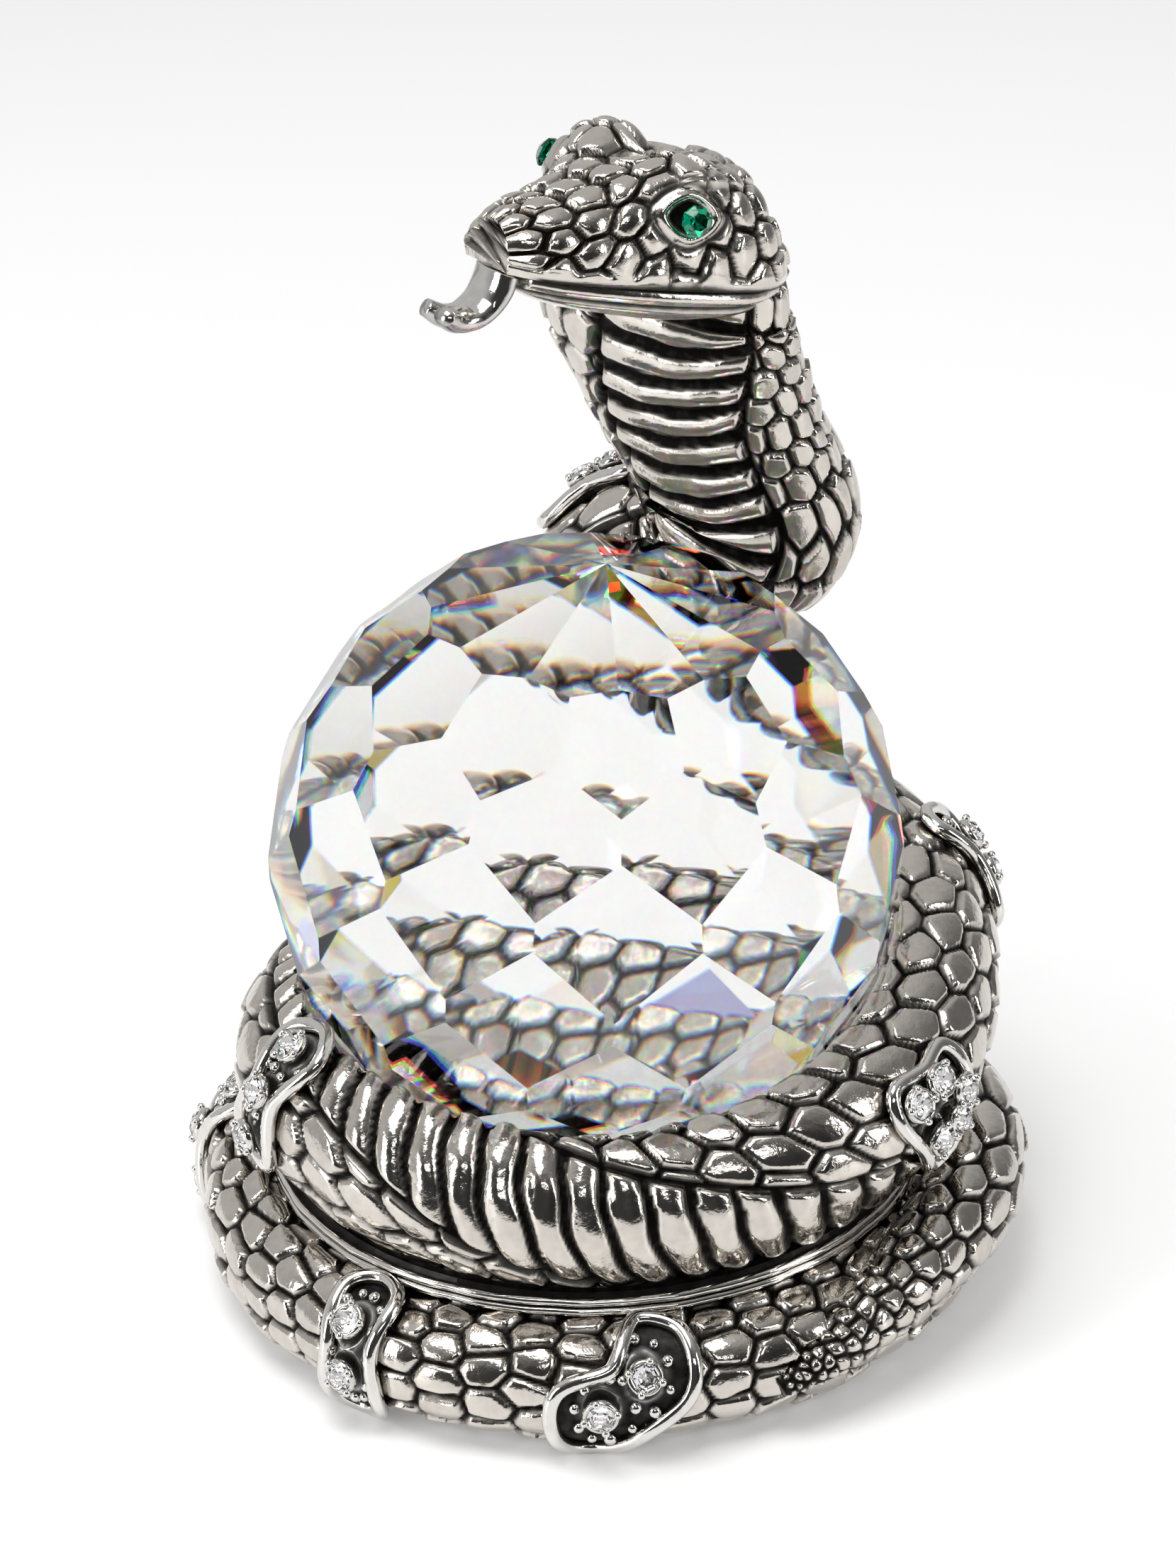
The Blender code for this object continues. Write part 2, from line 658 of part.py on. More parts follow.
def make_ball(look, place):
    """A block cut by one plane for each facet."""
    step = 360 / FACETS_ROUND
    pole_reach = BALL_RADIUS * math.sin(math.radians(POLE_LATITUDE))
    planes = []
    for k in range(FACETS_ROUND):
        for row, latitude in enumerate(FACET_ROWS):
            planes.append((latitude, step * (k + 0.5 * (row % 2)), BALL_RADIUS * FACET_REACH))
        planes.append((POLE_LATITUDE, step * (k + 0.5), pole_reach))
        planes.append((-POLE_LATITUDE, step * (k + 0.5), pole_reach))
    work = bmesh.new()
    bmesh.ops.create_cube(work, size=3 * BALL_RADIUS * MM)
    for latitude, longitude, distance in planes:
        la, lo = math.radians(latitude), math.radians(longitude)
        normal = Vector((math.cos(la) * math.sin(lo), -math.cos(la) * math.cos(lo), math.sin(la)))
        cut = bmesh.ops.bisect_plane(
            work,
            geom=work.verts[:] + work.edges[:] + work.faces[:],
            plane_co=normal * distance * MM,
            plane_no=normal,
            clear_outer=True,
        )
        rim = [e for e in cut["geom_cut"] if isinstance(e, bmesh.types.BMEdge)]
        if rim:
            bmesh.ops.contextual_create(work, geom=rim)
    bmesh.ops.remove_doubles(work, verts=work.verts, dist=1e-7)
    bmesh.ops.recalc_face_normals(work, faces=work.faces)
    mesh = bpy.data.meshes.new("crystal_ball")
    work.to_mesh(mesh)
    work.free()
    made = new_object("crystal_ball", mesh, look, place)
    made.rotation_euler = (0, math.radians(BALL_LEAN), math.radians(BALL_TURN))
    made.location = (0, 0, BALL_Z * MM)
    return made


def ball_seat_height(radius):
    """Height of the ball's underside at this distance from the axis."""
    return BALL_Z - math.sqrt((BALL_RADIUS + GAP) ** 2 - radius**2)


def make_seat_ring(look, place):
    low = LID_TOP + GAP
    inner, outer = 0.2 * BALL_RADIUS, 0.5 * BALL_RADIUS
    profile = [
        (inner, ball_seat_height(inner)),
        ((inner + outer) / 2, ball_seat_height((inner + outer) / 2)),
        (outer, ball_seat_height(outer)),
        (outer + 0.4, low + 0.4),
        (outer + 0.4, low),
        (inner, low),
    ]
    return turned("ball_seat_ring", profile, look, place)


def make_ball_cutter(cutters):
    work = bmesh.new()
    bmesh.ops.create_uvsphere(
        work, u_segments=48, v_segments=24, radius=(BALL_RADIUS + BALL_ROOM) * MM
    )
    mesh = bpy.data.meshes.new("ball_cutter")
    work.to_mesh(mesh)
    work.free()
    made = hide(new_object("ball_cutter", mesh, None, cutters))
    made.location = (0, 0, BALL_Z * MM)
    return made


# ------------------------------------------------------------------ snake on the lid


def make_body(path, look, place, cutters):
    ball = make_ball_cutter(cutters)
    under = hide(
        box(
            "lid_top_cutter",
            (-2 * BOX_RADIUS, -2 * BOX_RADIUS, -5),
            (2 * BOX_RADIUS, 2 * BOX_RADIUS, LID_TOP + GAP),
            None,
            cutters,
        )
    )
    half = KNUCKLE_LENGTH / 2 + GAP
    hinge_room = hide(
        box(
            "hinge_room_cutter",
            (-half, RIM_OUTER, HINGE_Z),
            (half, HINGE_Y + KNUCKLE_RADIUS + GAP, HINGE_Z + LEAF_HEIGHT + GAP),
            None,
            cutters,
        )
    )
    hood_path = path_of(HOOD_PATH)
    room = (hood_path[0], hood_path[1] + HOOD_ROOM, hood_path[2] + HOOD_ROOM, *hood_path[3:])
    hood_room = hide(loft("hood_cutter", lengthened(sections(room, BODY_SIDES)), None, cutters))
    for name, first, last in BODY_PIECES:
        made = loft(name, piece_of_body(path, first, last, BODY_SIDES), look, place)
        boolean(made, ball)
        if name == "body_coil":
            boolean(made, under)
            boolean(made, hinge_room)
        if name == "body_arch":
            boolean(made, hood_room, solver="MANIFOLD")
    hood = loft("hood", sections(hood_path, BODY_SIDES), look, place)
    boolean(hood, ball)
    for room in make_head_room(cutters):
        boolean(hood, room)


def head_axes():
    yaw, pitch = math.radians(HEAD_YAW), math.radians(HEAD_PITCH)
    forward = np.array(
        (-math.cos(yaw) * math.cos(pitch), -math.sin(yaw) * math.cos(pitch), math.sin(pitch))
    )
    far_side = np.array((-math.sin(yaw), math.cos(yaw), 0.0))
    up = np.cross(forward, far_side) * -1
    return forward, far_side, up


def head_point(forward, sideways, up):
    """A point of the head's own frame, in millimetres of the whole."""
    f, s, u = head_axes()
    return from_lid(np.array(HEAD_PLACE) + f * forward + s * sideways + u * up)


def head_rings(grow=0.0, sides=14):
    """Sections with a flat underside and a domed top."""
    rings = []
    for forward, half, height, square in smooth_rows(HEAD_SECTIONS, 16):
        ring = []
        for k in range(sides):
            a = math.pi * k / (sides - 1)
            c, s = math.cos(a), math.sin(a)
            across = (half + grow) * math.copysign(abs(c) ** (2 / square), c)
            up = MOUTH_GAP - grow + (height + 2 * grow - MOUTH_GAP) * abs(s) ** (2 / square)
            ring.append(head_point(forward, across, up))
        rings.append(ring)
    return rings


def jaw_rings(grow=0.0, sides=12):
    """Sections with a flat top and a round underside."""
    rings = []
    for forward, half, depth in smooth_rows(JAW_SECTIONS, 10):
        ring = []
        for k in range(sides):
            a = math.pi * k / (sides - 1)
            down = grow - (depth + 2 * grow) * math.sin(a) ** 0.8
            ring.append(head_point(forward, (half + grow) * math.cos(a), down))
        rings.append(ring)
    return rings


def make_head_room(cutters):
    """The space round the head and jaw that the top of the hood is cut to."""
    return (
        hide(loft("head_cutter", head_rings(grow=GAP + 0.1), None, cutters)),
        hide(loft("jaw_cutter", jaw_rings(grow=GAP + 0.1), None, cutters)),
    )


def make_head(look, eye_look, place):
    loft("head", head_rings(), look, place)
    loft("jaw", jaw_rings(), look, place)
    forward, far_side, up = head_axes()
    for name, way in (("eye_left", -1), ("eye_right", 1)):
        x, y, z = EYE_PLACE
        facing = unit(far_side * way + forward * 0.25 + up * 0.2)
        make_stone(name, EYE_RADIUS, head_point(x, way * y, z), facing, eye_look, place)


def tongue_rings(way):
    """A flat ribbon that hangs from the mouth, curls forward and bends to one side."""
    fine = smooth_rows(TONGUE_PATH, 16)
    line = np.array([head_point(x, way * aside, z) for x, aside, z, _, _ in fine])
    along = np.gradient(line, axis=0)
    _, far_side, _ = head_axes()
    rings = []
    for middle, t, (_, _, _, wide, thick) in zip(line, along, fine):
        across = unit(far_side - unit(t) * float(far_side @ unit(t)))
        out = np.cross(unit(t), across)
        ring = []
        for k in range(8):
            a = 2 * math.pi * k / 8
            ring.append(middle + across * wide * math.cos(a) + out * thick * math.sin(a))
        rings.append(ring)
    return rings


def make_tongue(look, place, cutters):
    made = loft("tongue", tongue_rings(1), look, place)
    other = hide(loft("tongue_fork", tongue_rings(-1), None, cutters))
    boolean(made, other, "UNION")


# ------------------------------------------------------------------ stones and settings


def stone_profile(radius):
    """A round brilliant: table, crown, girdle and pavilion."""
    return [
        (0, 0.42 * radius),
        (0.56 * radius, 0.42 * radius),
        (radius, 0.08 * radius),
        (radius, -0.08 * radius),
        (0, -STONE_DEPTH * radius),
    ]


def make_stone(name, radius, middle, facing, look, place):
    made = turned(name, stone_profile(radius), look, place, steps=8)
    made.modifiers["Turn"].use_smooth_shade = False
    made.rotation_mode = "QUATERNION"
    made.rotation_quaternion = Vector(facing).to_track_quat("Z", "Y")
    made.location = Vector(middle) * MM
    return made


def closed_outline(corners, count):
    """A smooth closed outline through its corners."""
    rows = np.array(corners, float)
    n = len(rows)
    found = []
    for t in np.arange(count) * n / count:
        i, f = int(t), t - int(t)
        a, b, c, d = (rows[(i + k - 1) % n] for k in range(4))
        found.append(
            0.5 * (2 * b + (c - a) * f + (2 * a - 5 * b + 4 * c - d) * f**2 + (3 * b - a - 3 * c + d) * f**3)
        )
    return np.array(found)


def on_skin(path, place, angle, height):
    """A point above the skin of a path. The angle is measured up from straight outwards."""
    centres = path[0]
    i = min(max(int(place), 0), len(centres) - 2)
    f = place - i
    centre, wide, thick, belly = (row[i] * (1 - f) + row[i + 1] * f for row in path[:4])
    tangents = np.gradient(centres, axis=0)
    along = unit(tangents[i] * (1 - f) + tangents[i + 1] * f)
    outward = np.array((centre[0], centre[1], 0))
    outward = unit(outward - along * float(outward @ along))
    up = np.cross(outward, along)
    if up[2] < 0:
        up = -up
    down = unit(belly - along * float(belly @ along))
    side = np.cross(along, down)
    way = outward * math.cos(angle) + up * math.sin(angle)
    n = path[4]
    a, b = float(way @ side) / wide, float(way @ down) / thick
    reach = (abs(a) ** n + abs(b) ** n) ** (-1 / n)
    steep_a, steep_b = (math.copysign(abs(c) ** (n - 1), c) for c in (a, b))
    normal = unit(side * steep_a / wide + down * steep_b / thick)
    return centre + way * reach + normal * height


def patch_on(path, place, degrees, turn):
    """A function that places a point of a patch: u along the body, v round it, h above it."""
    wide, thick = path[1], path[2]
    angle = math.radians(degrees)
    ahead = on_skin(path, place + 0.5, angle, 0)
    step = float(np.linalg.norm(ahead - on_skin(path, place - 0.5, angle, 0)))
    round_body = (float(wide[int(place)]) + float(thick[int(place)])) / 2
    c, s = math.cos(math.radians(turn)), math.sin(math.radians(turn))

    def point(u, v, h):
        along, across = u * c - v * s, u * s + v * c
        return on_skin(path, place + along / step, angle + across / round_body, h)

    return point


def make_setting(name, outline, stones, point, look, stone_look, place):
    count = 16
    outer = closed_outline(outline, count) * STONE_SIZE
    middle = outer.mean(axis=0)
    away = outer - middle
    inner = middle + away * (1 - 2 * SETTING_WIRE / np.linalg.norm(away, axis=1))[:, None]
    crest = (outer + inner) / 2
    low = (GAP + 0.1) * STONE_SIZE
    floor = low + SETTING_FLOOR
    levels = (
        (middle + (outer - middle) * 0.35, low),
        (middle + (outer - middle) * 0.7, low),
        (outer, low),
        (outer, floor + 0.3),
        (crest, SETTING_RISE),
        (inner, floor + 0.3),
        (inner, floor),
        (middle + (inner - middle) * 0.5, floor),
    )
    rings = [[point(u, v, h) for u, v in ring] for ring, h in levels]
    points = [p for ring in rings for p in ring]
    faces = []
    for i in range(len(rings) - 1):
        for j in range(count):
            k = (j + 1) % count
            faces.append((i * count + j, i * count + k, (i + 1) * count + k, (i + 1) * count + j))
    under, top = len(points), len(points) + 1
    points.append(point(*middle, low))
    points.append(point(*middle, floor))
    last = (len(rings) - 1) * count
    for j in range(count):
        k = (j + 1) % count
        faces.append((under, k, j))
        faces.append((top, last + j, last + k))
    new_object("setting_" + name, mesh_of("setting_" + name, points, faces), look, place)
    seat = floor + GAP + STONE_DEPTH * STONE_RADIUS
    for k, (u, v) in enumerate(np.array(stones) * STONE_SIZE):
        facing = unit(point(u, v, seat) - point(u, v, 0))
        make_stone(f"stone_{name}_{k + 1}", STONE_RADIUS, point(u, v, seat), facing, stone_look, place)


def lower_coil(count=97):
    """The path of the lower coil, for what sits on it."""
    turns = np.linspace(0, 2 * math.pi, count)
    centres = np.stack(
        (RING_RADIUS * np.cos(turns), RING_RADIUS * np.sin(turns), np.full(count, RING_HEIGHT)), 1
    )
    wide, thick = np.full(count, COIL_HALF_WIDTH), np.full(count, COIL_HALF_HEIGHT)
    return centres, wide, thick, np.tile((0.0, 0.0, -1.0), (count, 1)), COIL_FULLNESS


def make_settings(path, look, stone_look, place):
    coil = lower_coil()
    for name, outline, stones, azimuth, angle, turn in BASE_SETTINGS:
        point = patch_on(coil, azimuth / 360 * (len(coil[0]) - 1), angle, turn)
        make_setting("base_" + name, outline, stones, point, look, stone_look, place)
    for name, outline, stones, ring, angle, turn in FLANK_SETTINGS:
        point = patch_on(flank_path(), ring, angle, turn)
        make_setting("base_" + name, outline, stones, point, look, stone_look, place)
    for name, outline, stones, row, angle, turn in LID_SETTINGS:
        point = patch_on(path, row * RINGS_PER_ROW, angle, turn)
        make_setting(name, outline, stones, point, look, stone_look, place)


# ------------------------------------------------------------------ assembly


def hang_lid(place):
    """Parents all that turns with the lid to an empty on the hinge's axis."""
    axis = bpy.data.objects.new("lid_hinge", None)
    place.objects.link(axis)
    axis.location = (0, HINGE_Y * MM, HINGE_Z * MM)
    back = Matrix.Translation((0, -HINGE_Y * MM, -HINGE_Z * MM))
    for obj in place.objects:
        if obj.type == "MESH" and obj.name.startswith(LID_PIECES):
            obj.parent = axis
            obj.matrix_parent_inverse = back


def main():
    clear_scene()
    place = collection("cobra_crystal_ball")
    cutters = collection("cutters", hidden=True)
    silver = material("antique_silver", (0.62, 0.6, 0.57), 0.22, 1.0)
    crystal = material("crystal", (0.98, 0.98, 1.0), 0.0, 0.0, 1.0)
    paste = material("paste_stone", (0.95, 0.96, 1.0), 0.02, 0.0, 1.0)
    emerald = material("emerald_stone", (0.0, 0.45, 0.25), 0.02, 0.0, 0.8)
    felt = material("felt", (0.03, 0.03, 0.035), 0.95, 0.0)
    magnet = material("nickel_magnet", (0.6, 0.6, 0.62), 0.3, 1.0)
    steel = material("steel_pin", (0.55, 0.55, 0.56), 0.35, 1.0)

    make_box(silver, place, cutters)
    make_rim("base_rim", BOX_TOP + GAP, silver, place)
    make_magnet("base_magnet", SEAM_Z - SEAM_GAP / 2, -1, magnet, place)
    make_tail(silver, place, cutters)
    turned(
        "foot_felt",
        [(0, FELT_THICKNESS), (FELT_RADIUS, FELT_THICKNESS), (FELT_RADIUS, 0), (0, 0)],
        felt,
        place,
    )
    make_hinge(silver, steel, place, cutters)
    make_lid_plate(silver, place, cutters)
    make_rim("lid_rim", LID_BOTTOM, silver, place)
    make_magnet("lid_magnet", LID_BOTTOM, 1, magnet, place)
    make_ball(crystal, place)
    make_seat_ring(silver, place)
    path = path_of(BODY_PATH)
    make_body(path, silver, place, cutters)
    make_head(silver, emerald, place)
    make_tongue(silver, place, cutters)
    make_settings(path, silver, paste, place)
    hang_lid(place)


main()
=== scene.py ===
import json
import math

import bpy
import numpy as np
from mathutils import Matrix, Vector


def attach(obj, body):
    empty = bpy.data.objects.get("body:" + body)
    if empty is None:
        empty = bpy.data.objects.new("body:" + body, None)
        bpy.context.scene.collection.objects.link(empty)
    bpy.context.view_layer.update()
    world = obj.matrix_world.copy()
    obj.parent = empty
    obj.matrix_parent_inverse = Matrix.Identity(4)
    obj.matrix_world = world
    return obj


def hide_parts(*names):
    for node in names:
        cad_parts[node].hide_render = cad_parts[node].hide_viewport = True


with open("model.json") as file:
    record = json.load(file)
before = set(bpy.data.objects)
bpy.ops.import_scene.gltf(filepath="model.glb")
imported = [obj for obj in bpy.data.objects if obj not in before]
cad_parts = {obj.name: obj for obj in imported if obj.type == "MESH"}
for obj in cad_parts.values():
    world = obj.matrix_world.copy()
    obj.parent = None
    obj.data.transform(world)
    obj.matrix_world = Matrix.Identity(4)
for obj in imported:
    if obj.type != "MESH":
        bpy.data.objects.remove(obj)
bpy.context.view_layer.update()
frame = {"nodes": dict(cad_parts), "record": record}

# Lengths are in millimetres until a mesh is made.
MM = 0.001

# ---- shapes shared with the CAD model ----
BALL_RADIUS = 29.9  # to the corners of its facets
BALL_ROOM = 0.7  # between the ball and the snake
BALL_Z = 44.8
LID_TOP = 14.4
GAP = 0.3  # between pieces that rest on each other
RIM_BEAD = 0.8  # height of each rim
BASE_RIM_Z = 12.2
LID_RIM_Z = 13.2
RIM_ROOM = 31.7  # the lower coil's skin begins outside the rims
RING_RADIUS = 29.8  # of the lower coil's middle
RING_HEIGHT = 6.1
COIL_HALF_WIDTH = 8.2
COIL_HALF_HEIGHT = 5.8
COIL_FULLNESS = 2.5  # 2 is an ellipse, more is squarer
FOOT_HEIGHT = 0.3
STONE_RADIUS = 1.4
STONE_DEPTH = 0.7  # of its radius, below the girdle
SETTING_LOW = 0.1  # no setting reaches below this
SETTING_FLOOR = 0.5

# Rows: distance out, height
BOX_LINING = (
    (0.01, 2.5), (12, 2.5), (24, 2.5), (30.8, 2.5), (33.2, 3.1), (34.2, 3.7), (34.9, 4.5), (35.2, 5.5),
    (34.6, 6.8), (33.4, 7.7), (31, 8.6), (28.9, 9.5), (27.9, 9.9), (27.3, 10.5), (27.3, 12.9),
    (27.4, 13.0), (30.0, 13.0), (30.1, 12.9), (30.1, 12.0),
)
FELT_RECESS = ((27.3, 0.3), (27.3, 1.1), (12, 1.1), (0.01, 1.1))

# Rows: azimuth, distance out, height, half width, half thickness, belly angle, belly swing
BODY_PATH = (
    (30, 27.0, 17.6, 3.2, 3.2, -90, 0),
    (50, 26.2, 18.8, 5.0, 5.0, -60, 0),
    (80, 25.2, 20.0, 6.6, 6.6, 0, 0),
    (120, 25.0, 21.4, 7.8, 7.8, 60, 0),
    (160, 25.4, 23.0, 8.8, 8.8, 95, 0),
    (195, 25.6, 23.5, 9.2, 9.2, 100, 0),
    (225, 25.3, 22.6, 9.0, 9.0, 75, 0),
    (250, 24.9, 21.4, 8.6, 8.6, 35, 0),
    (272, 24.7, 20.8, 8.3, 8.3, 4, 0),
    (295, 25.4, 21.2, 8.4, 8.4, -22, 0),
    (318, 27.1, 22.8, 8.7, 8.7, -52, 0),
    (340, 28.8, 25.0, 8.9, 8.9, -78, 0),
    (362, 30.2, 27.8, 8.9, 8.9, -90, 0),
    (380, 32.0, 29.6, 8.5, 8.5, -95, 0),
    (394, 33.0, 31.0, 8.1, 8.1, -95, 0),
    (409, 33.8, 33.2, 7.8, 7.8, -95, 0),
    (422, 34.2, 35.6, 7.6, 7.6, -95, 0),
    (433, 34.4, 38.0, 7.5, 7.5, -100, 0),
    (441.5, 34.6, 41.0, 7.4, 7.4, -120, 0),
    (446.5, 34.6, 45.2, 7.4, 7.4, -150, 0),
    (447.5, 34.0, 50.0, 7.4, 7.4, -170, 0),
    (445.5, 32.8, 56.0, 7.5, 7.5, -180, 0),
    (438.5, 31.2, 60.0, 7.8, 7.6, -180, 0),
    (428.5, 30.4, 62.4, 8.0, 7.4, -180, 0),
    (421, 30.0, 65.0, 8.0, 7.2, -180, 0),
)
HOOD_PATH = (
    (423.0, 29.4, 61.0, 8.6, 6.8, -180, 0),
    (418.8, 29.7, 64.8, 10.8, 7.2, -176, 0),
    (416.2, 29.6, 69.0, 12.0, 7.2, -172, 0),
    (416.8, 28.4, 72.8, 12.0, 7.0, -170, -2),
    (418.6, 26.5, 77.0, 12.2, 6.7, -166, -3),
    (420.2, 24.5, 81.6, 12.7, 6.4, -165, -4),
    (422.0, 22.4, 86.6, 13.4, 6.2, -165, -6),
    (423.2, 20.6, 91.2, 14.0, 6.0, -166, -8),
    (422.8, 19.6, 95.4, 13.5, 6.0, -168, -8),
    (419.8, 19.5, 99.2, 12.4, 6.0, -170, -6),
    (417.0, 19.8, 103.0, 10.8, 5.6, -172, -4),
)
RINGS_PER_ROW = 3
# The belly's plates: half the angle that they cover, how long each is, how far they slant with
# the distance across, the width of the gap between them, and how far they lie to one side.
BODY_BELLY = {"half_angle": 50, "pitch": 3.5, "lead": 0.22, "gap": 0.0, "aside": 0.0}
HOOD_BELLY = {"half_angle": 38, "pitch": 3.9, "lead": 0.0, "gap": 0.42, "aside": -3.6}
ASIDE_HEIGHTS = (80, 95)  # the plates move aside between these
# Rows: azimuth, then what the lower coil gains outwards, upwards, in half width and in half height
FLANK_PATH = (
    (236, 0.0, 0.0, -0.2, -0.2),
    (215, 0.2, 0.4, 0.0, 0.3),
    (190, 0.4, 0.9, 0.1, 0.9),
    (165, 0.5, 1.2, 0.1, 1.2),
    (145, 0.4, 0.9, 0.0, 0.9),
    (125, 0.2, 0.3, -0.2, 0.2),
    (112, 0.0, 0.0, -0.3, -0.2),
)
# Rows: azimuth, out from the lower coil's middle, up from it, radius
TAIL_PATH = (
    (76, -1.6, -1.0, 3.4),
    (54, 0.6, 0.6, 4.6),
    (28, 3.0, 2.8, 5.5),
    (4, 4.4, 3.8, 5.7),
    (-16, 4.8, 3.9, 5.2),
    (-33, 5.0, 3.6, 4.3),
    (-47, 5.6, 2.4, 3.3),
    (-58, 6.4, 0.6, 2.2),
    (-65, 6.8, -0.6, 1.1),
)
# Places in the head's own frame are forward, to its right, up.
HEAD_PLACE = (10.9, 14.0, 99.1)
HEAD_YAW = 38.0
HEAD_PITCH = 15.0
# Rows: forward, half width, height, fullness
HEAD_SECTIONS = (
    (-7.0, 5.5, 5.5, 2.0),
    (-5.0, 8.6, 8.4, 2.2),
    (-1.0, 10.9, 10.6, 2.5),
    (4.0, 10.9, 12.2, 3.0),
    (9.0, 9.9, 13.4, 3.4),
    (12.5, 8.9, 11.4, 3.0),
    (17.0, 7.6, 8.4, 2.5),
    (20.6, 6.2, 6.6, 2.2),
    (22.6, 4.8, 5.6, 2.0),
    (24.0, 3.0, 4.4, 2.0),
)
# Rows: forward, half width, depth
JAW_SECTIONS = (
    (-4.5, 8.2, 3.4),
    (0.0, 10.2, 4.4),
    (6.0, 9.8, 4.6),
    (12.0, 8.2, 4.1),
    (17.4, 5.8, 3.3),
    (20.9, 3.0, 2.1),
)
EYE_PLACE = (9.5, 10.8, 7.2)
# Rows: middle of a hollow, its size, its depth
HEAD_DENTS = (
    ((7.0, -1.6, 13.4), (8.0, 4.4, 4.5), 3.0),
    ((15.0, 6.8, 7.5), (8.0, 4.5, 4.5), 2.6),
    ((1.6, 4.6, 11.3), (3.2, 3.4, 3.0), 2.6),
    ((-4.6, -5.6, 7.6), (3.0, 4.0, 4.0), 3.4),
    ((9.0, 6.4, 12.8), (3.0, 3.0, 2.0), 0.9),
)
# Rows: forward, aside, up, half width, half thickness
TONGUE_PATH = (
    (22.6, 0.1, -0.2, 1.5, 0.8),
    (22.9, 0.1, -1.8, 1.5, 0.8),
    (23.8, 0.1, -3.4, 1.4, 0.75),
    (25.4, 0.2, -4.5, 1.3, 0.7),
    (27.4, 0.7, -4.7, 0.9, 0.65),
    (29.2, 1.4, -4.0, 0.6, 0.5),
)
# Corners of the settings' outlines
OVAL = ((-7.2, 0.0), (-5.4, 3.4), (0.2, 3.0), (5.4, 3.6), (7.3, 0.2), (5.2, -3.6), (0.0, -3.5), (-5.4, -3.3))
PEANUT = (
    (-8.4, 0.0), (-6.2, 3.6), (0.0, 2.7), (5.8, 3.8), (8.5, 0.2), (6.0, -3.9), (0.2, -2.9), (-6.2, -3.5),
)
BEAN = (
    (-8.0, -0.6), (-5.8, 3.4), (0.4, 2.8), (5.2, 5.0), (8.4, 1.2), (6.4, -3.4), (0.0, -4.7), (-6.0, -4.5),
)
SHIELD = (
    (-5.4, 1.6), (-4.0, 4.8), (1.0, 4.8), (5.2, 4.8), (5.9, 0.6), (2.8, -4.6), (-1.4, -6.2), (-3.6, -2.6),
)
TWO_STONES = ((-2.2, 0.0), (2.5, 0.1))
CLOSE_STONES = ((-1.8, 0.0), (1.8, 0.1))
THREE_STONES = ((-4.8, 0.2), (0.0, -0.1), (4.7, 0.2))
FIVE_STONES = ((-2.4, 2.2), (1.2, 2.6), (3.4, 0.2), (-1.2, -1.8), (1.5, -1.5))
BASE_SETTINGS = (
    ("front", BEAN, TWO_STONES, 272, 11, 28),
    ("front_left", OVAL, CLOSE_STONES, 231, 14.5, 94),
    ("rear_left", OVAL, CLOSE_STONES, 97, -2, 6),
)
FLANK_SETTINGS = (
    ("left", PEANUT, THREE_STONES, 8.6, 16, 90),
    ("rear", OVAL, CLOSE_STONES, 15.0, 8, 20),
)
LID_SETTINGS = (
    ("coil_left", PEANUT, THREE_STONES, 5.3, 25, 82),
    ("coil_right", SHIELD, FIVE_STONES, 10.6, 12, 0),
    ("riser_right", OVAL, CLOSE_STONES, 13.3, 24, 62),
    ("arch_top", OVAL, CLOSE_STONES, 21.9, 66, 0),
)


# ------------------------------------------------------------------ mathematics


def unit(v):
    v = np.asarray(v, float)
    return v / np.maximum(np.linalg.norm(v, axis=-1, keepdims=True), 1e-9)


def smooth_rows(rows, places):
    """Catmull-Rom through rows, read at these places, where 1 is the second row."""
    rows = np.asarray(rows, float)
    ends = np.vstack([2 * rows[0] - rows[1], rows, 2 * rows[-1] - rows[-2]])
    t = np.asarray(places, float)
    i = np.clip(t.astype(int), 0, len(rows) - 2)
    f = (t - i)[:, None]
    a, b, c, d = (ends[i + k] for k in range(4))
    return 0.5 * (2 * b + (c - a) * f + (2 * a - 5 * b + 4 * c - d) * f**2 + (3 * b - a - 3 * c + d) * f**3)


def ramp(value, low, high):
    """0 below low, 1 above high, and smooth between."""
    t = np.clip((value - low) / (high - low), 0, 1)
    return t * t * (3 - 2 * t)


def bent(value, fullness):
    return np.sign(value) * np.abs(value) ** (2 / fullness)


def chance(a, b, seed):
    """A repeatable random number from 0 to 1 for each pair of whole numbers."""
    wild = np.sin(a * 127.1 + b * 311.7 + seed * 74.7) * 43758.5453
    return wild - np.floor(wild)


def cell_pattern(u, turns, count, pitch, width, seed, jitter=0.16):
    """Staggered cells. u is millimetres along, and turns goes round once from 0 to 1.

    Gives the distance to the cell's edge, a number from 0 to 1 for the cell, and the place in it.
    """
    squash = 0.86
    v = turns * count
    row = np.round(u / pitch)
    best = np.full(u.shape, 1e9)
    second = np.full(u.shape, 1e9)
    mark = np.zeros(u.shape)
    off_u = np.zeros(u.shape)
    off_v = np.zeros(u.shape)
    for dr in (-1, 0, 1):
        r = row + dr
        shift = 0.5 * np.mod(r, 2)
        column = np.round(v - shift)
        for dc in (-1, 0, 1):
            c = column + dc
            name = np.mod(c, count)
            cu = (r + jitter * (chance(r, name, seed) - 0.5) * 2) * pitch
            cv = c + shift + jitter * (chance(r, name, seed + 1) - 0.5) * 2
            du, dv = u - cu, (v - cv) * width
            far = np.hypot(du * squash, dv)
            nearer = far < best
            second = np.where(nearer, best, np.minimum(second, far))
            mark = np.where(nearer, chance(r, name, seed + 2), mark)
            off_u = np.where(nearer, du, off_u)
            off_v = np.where(nearer, dv, off_v)
            best = np.where(nearer, far, best)
    return (second - best) / 2, mark, off_u, off_v


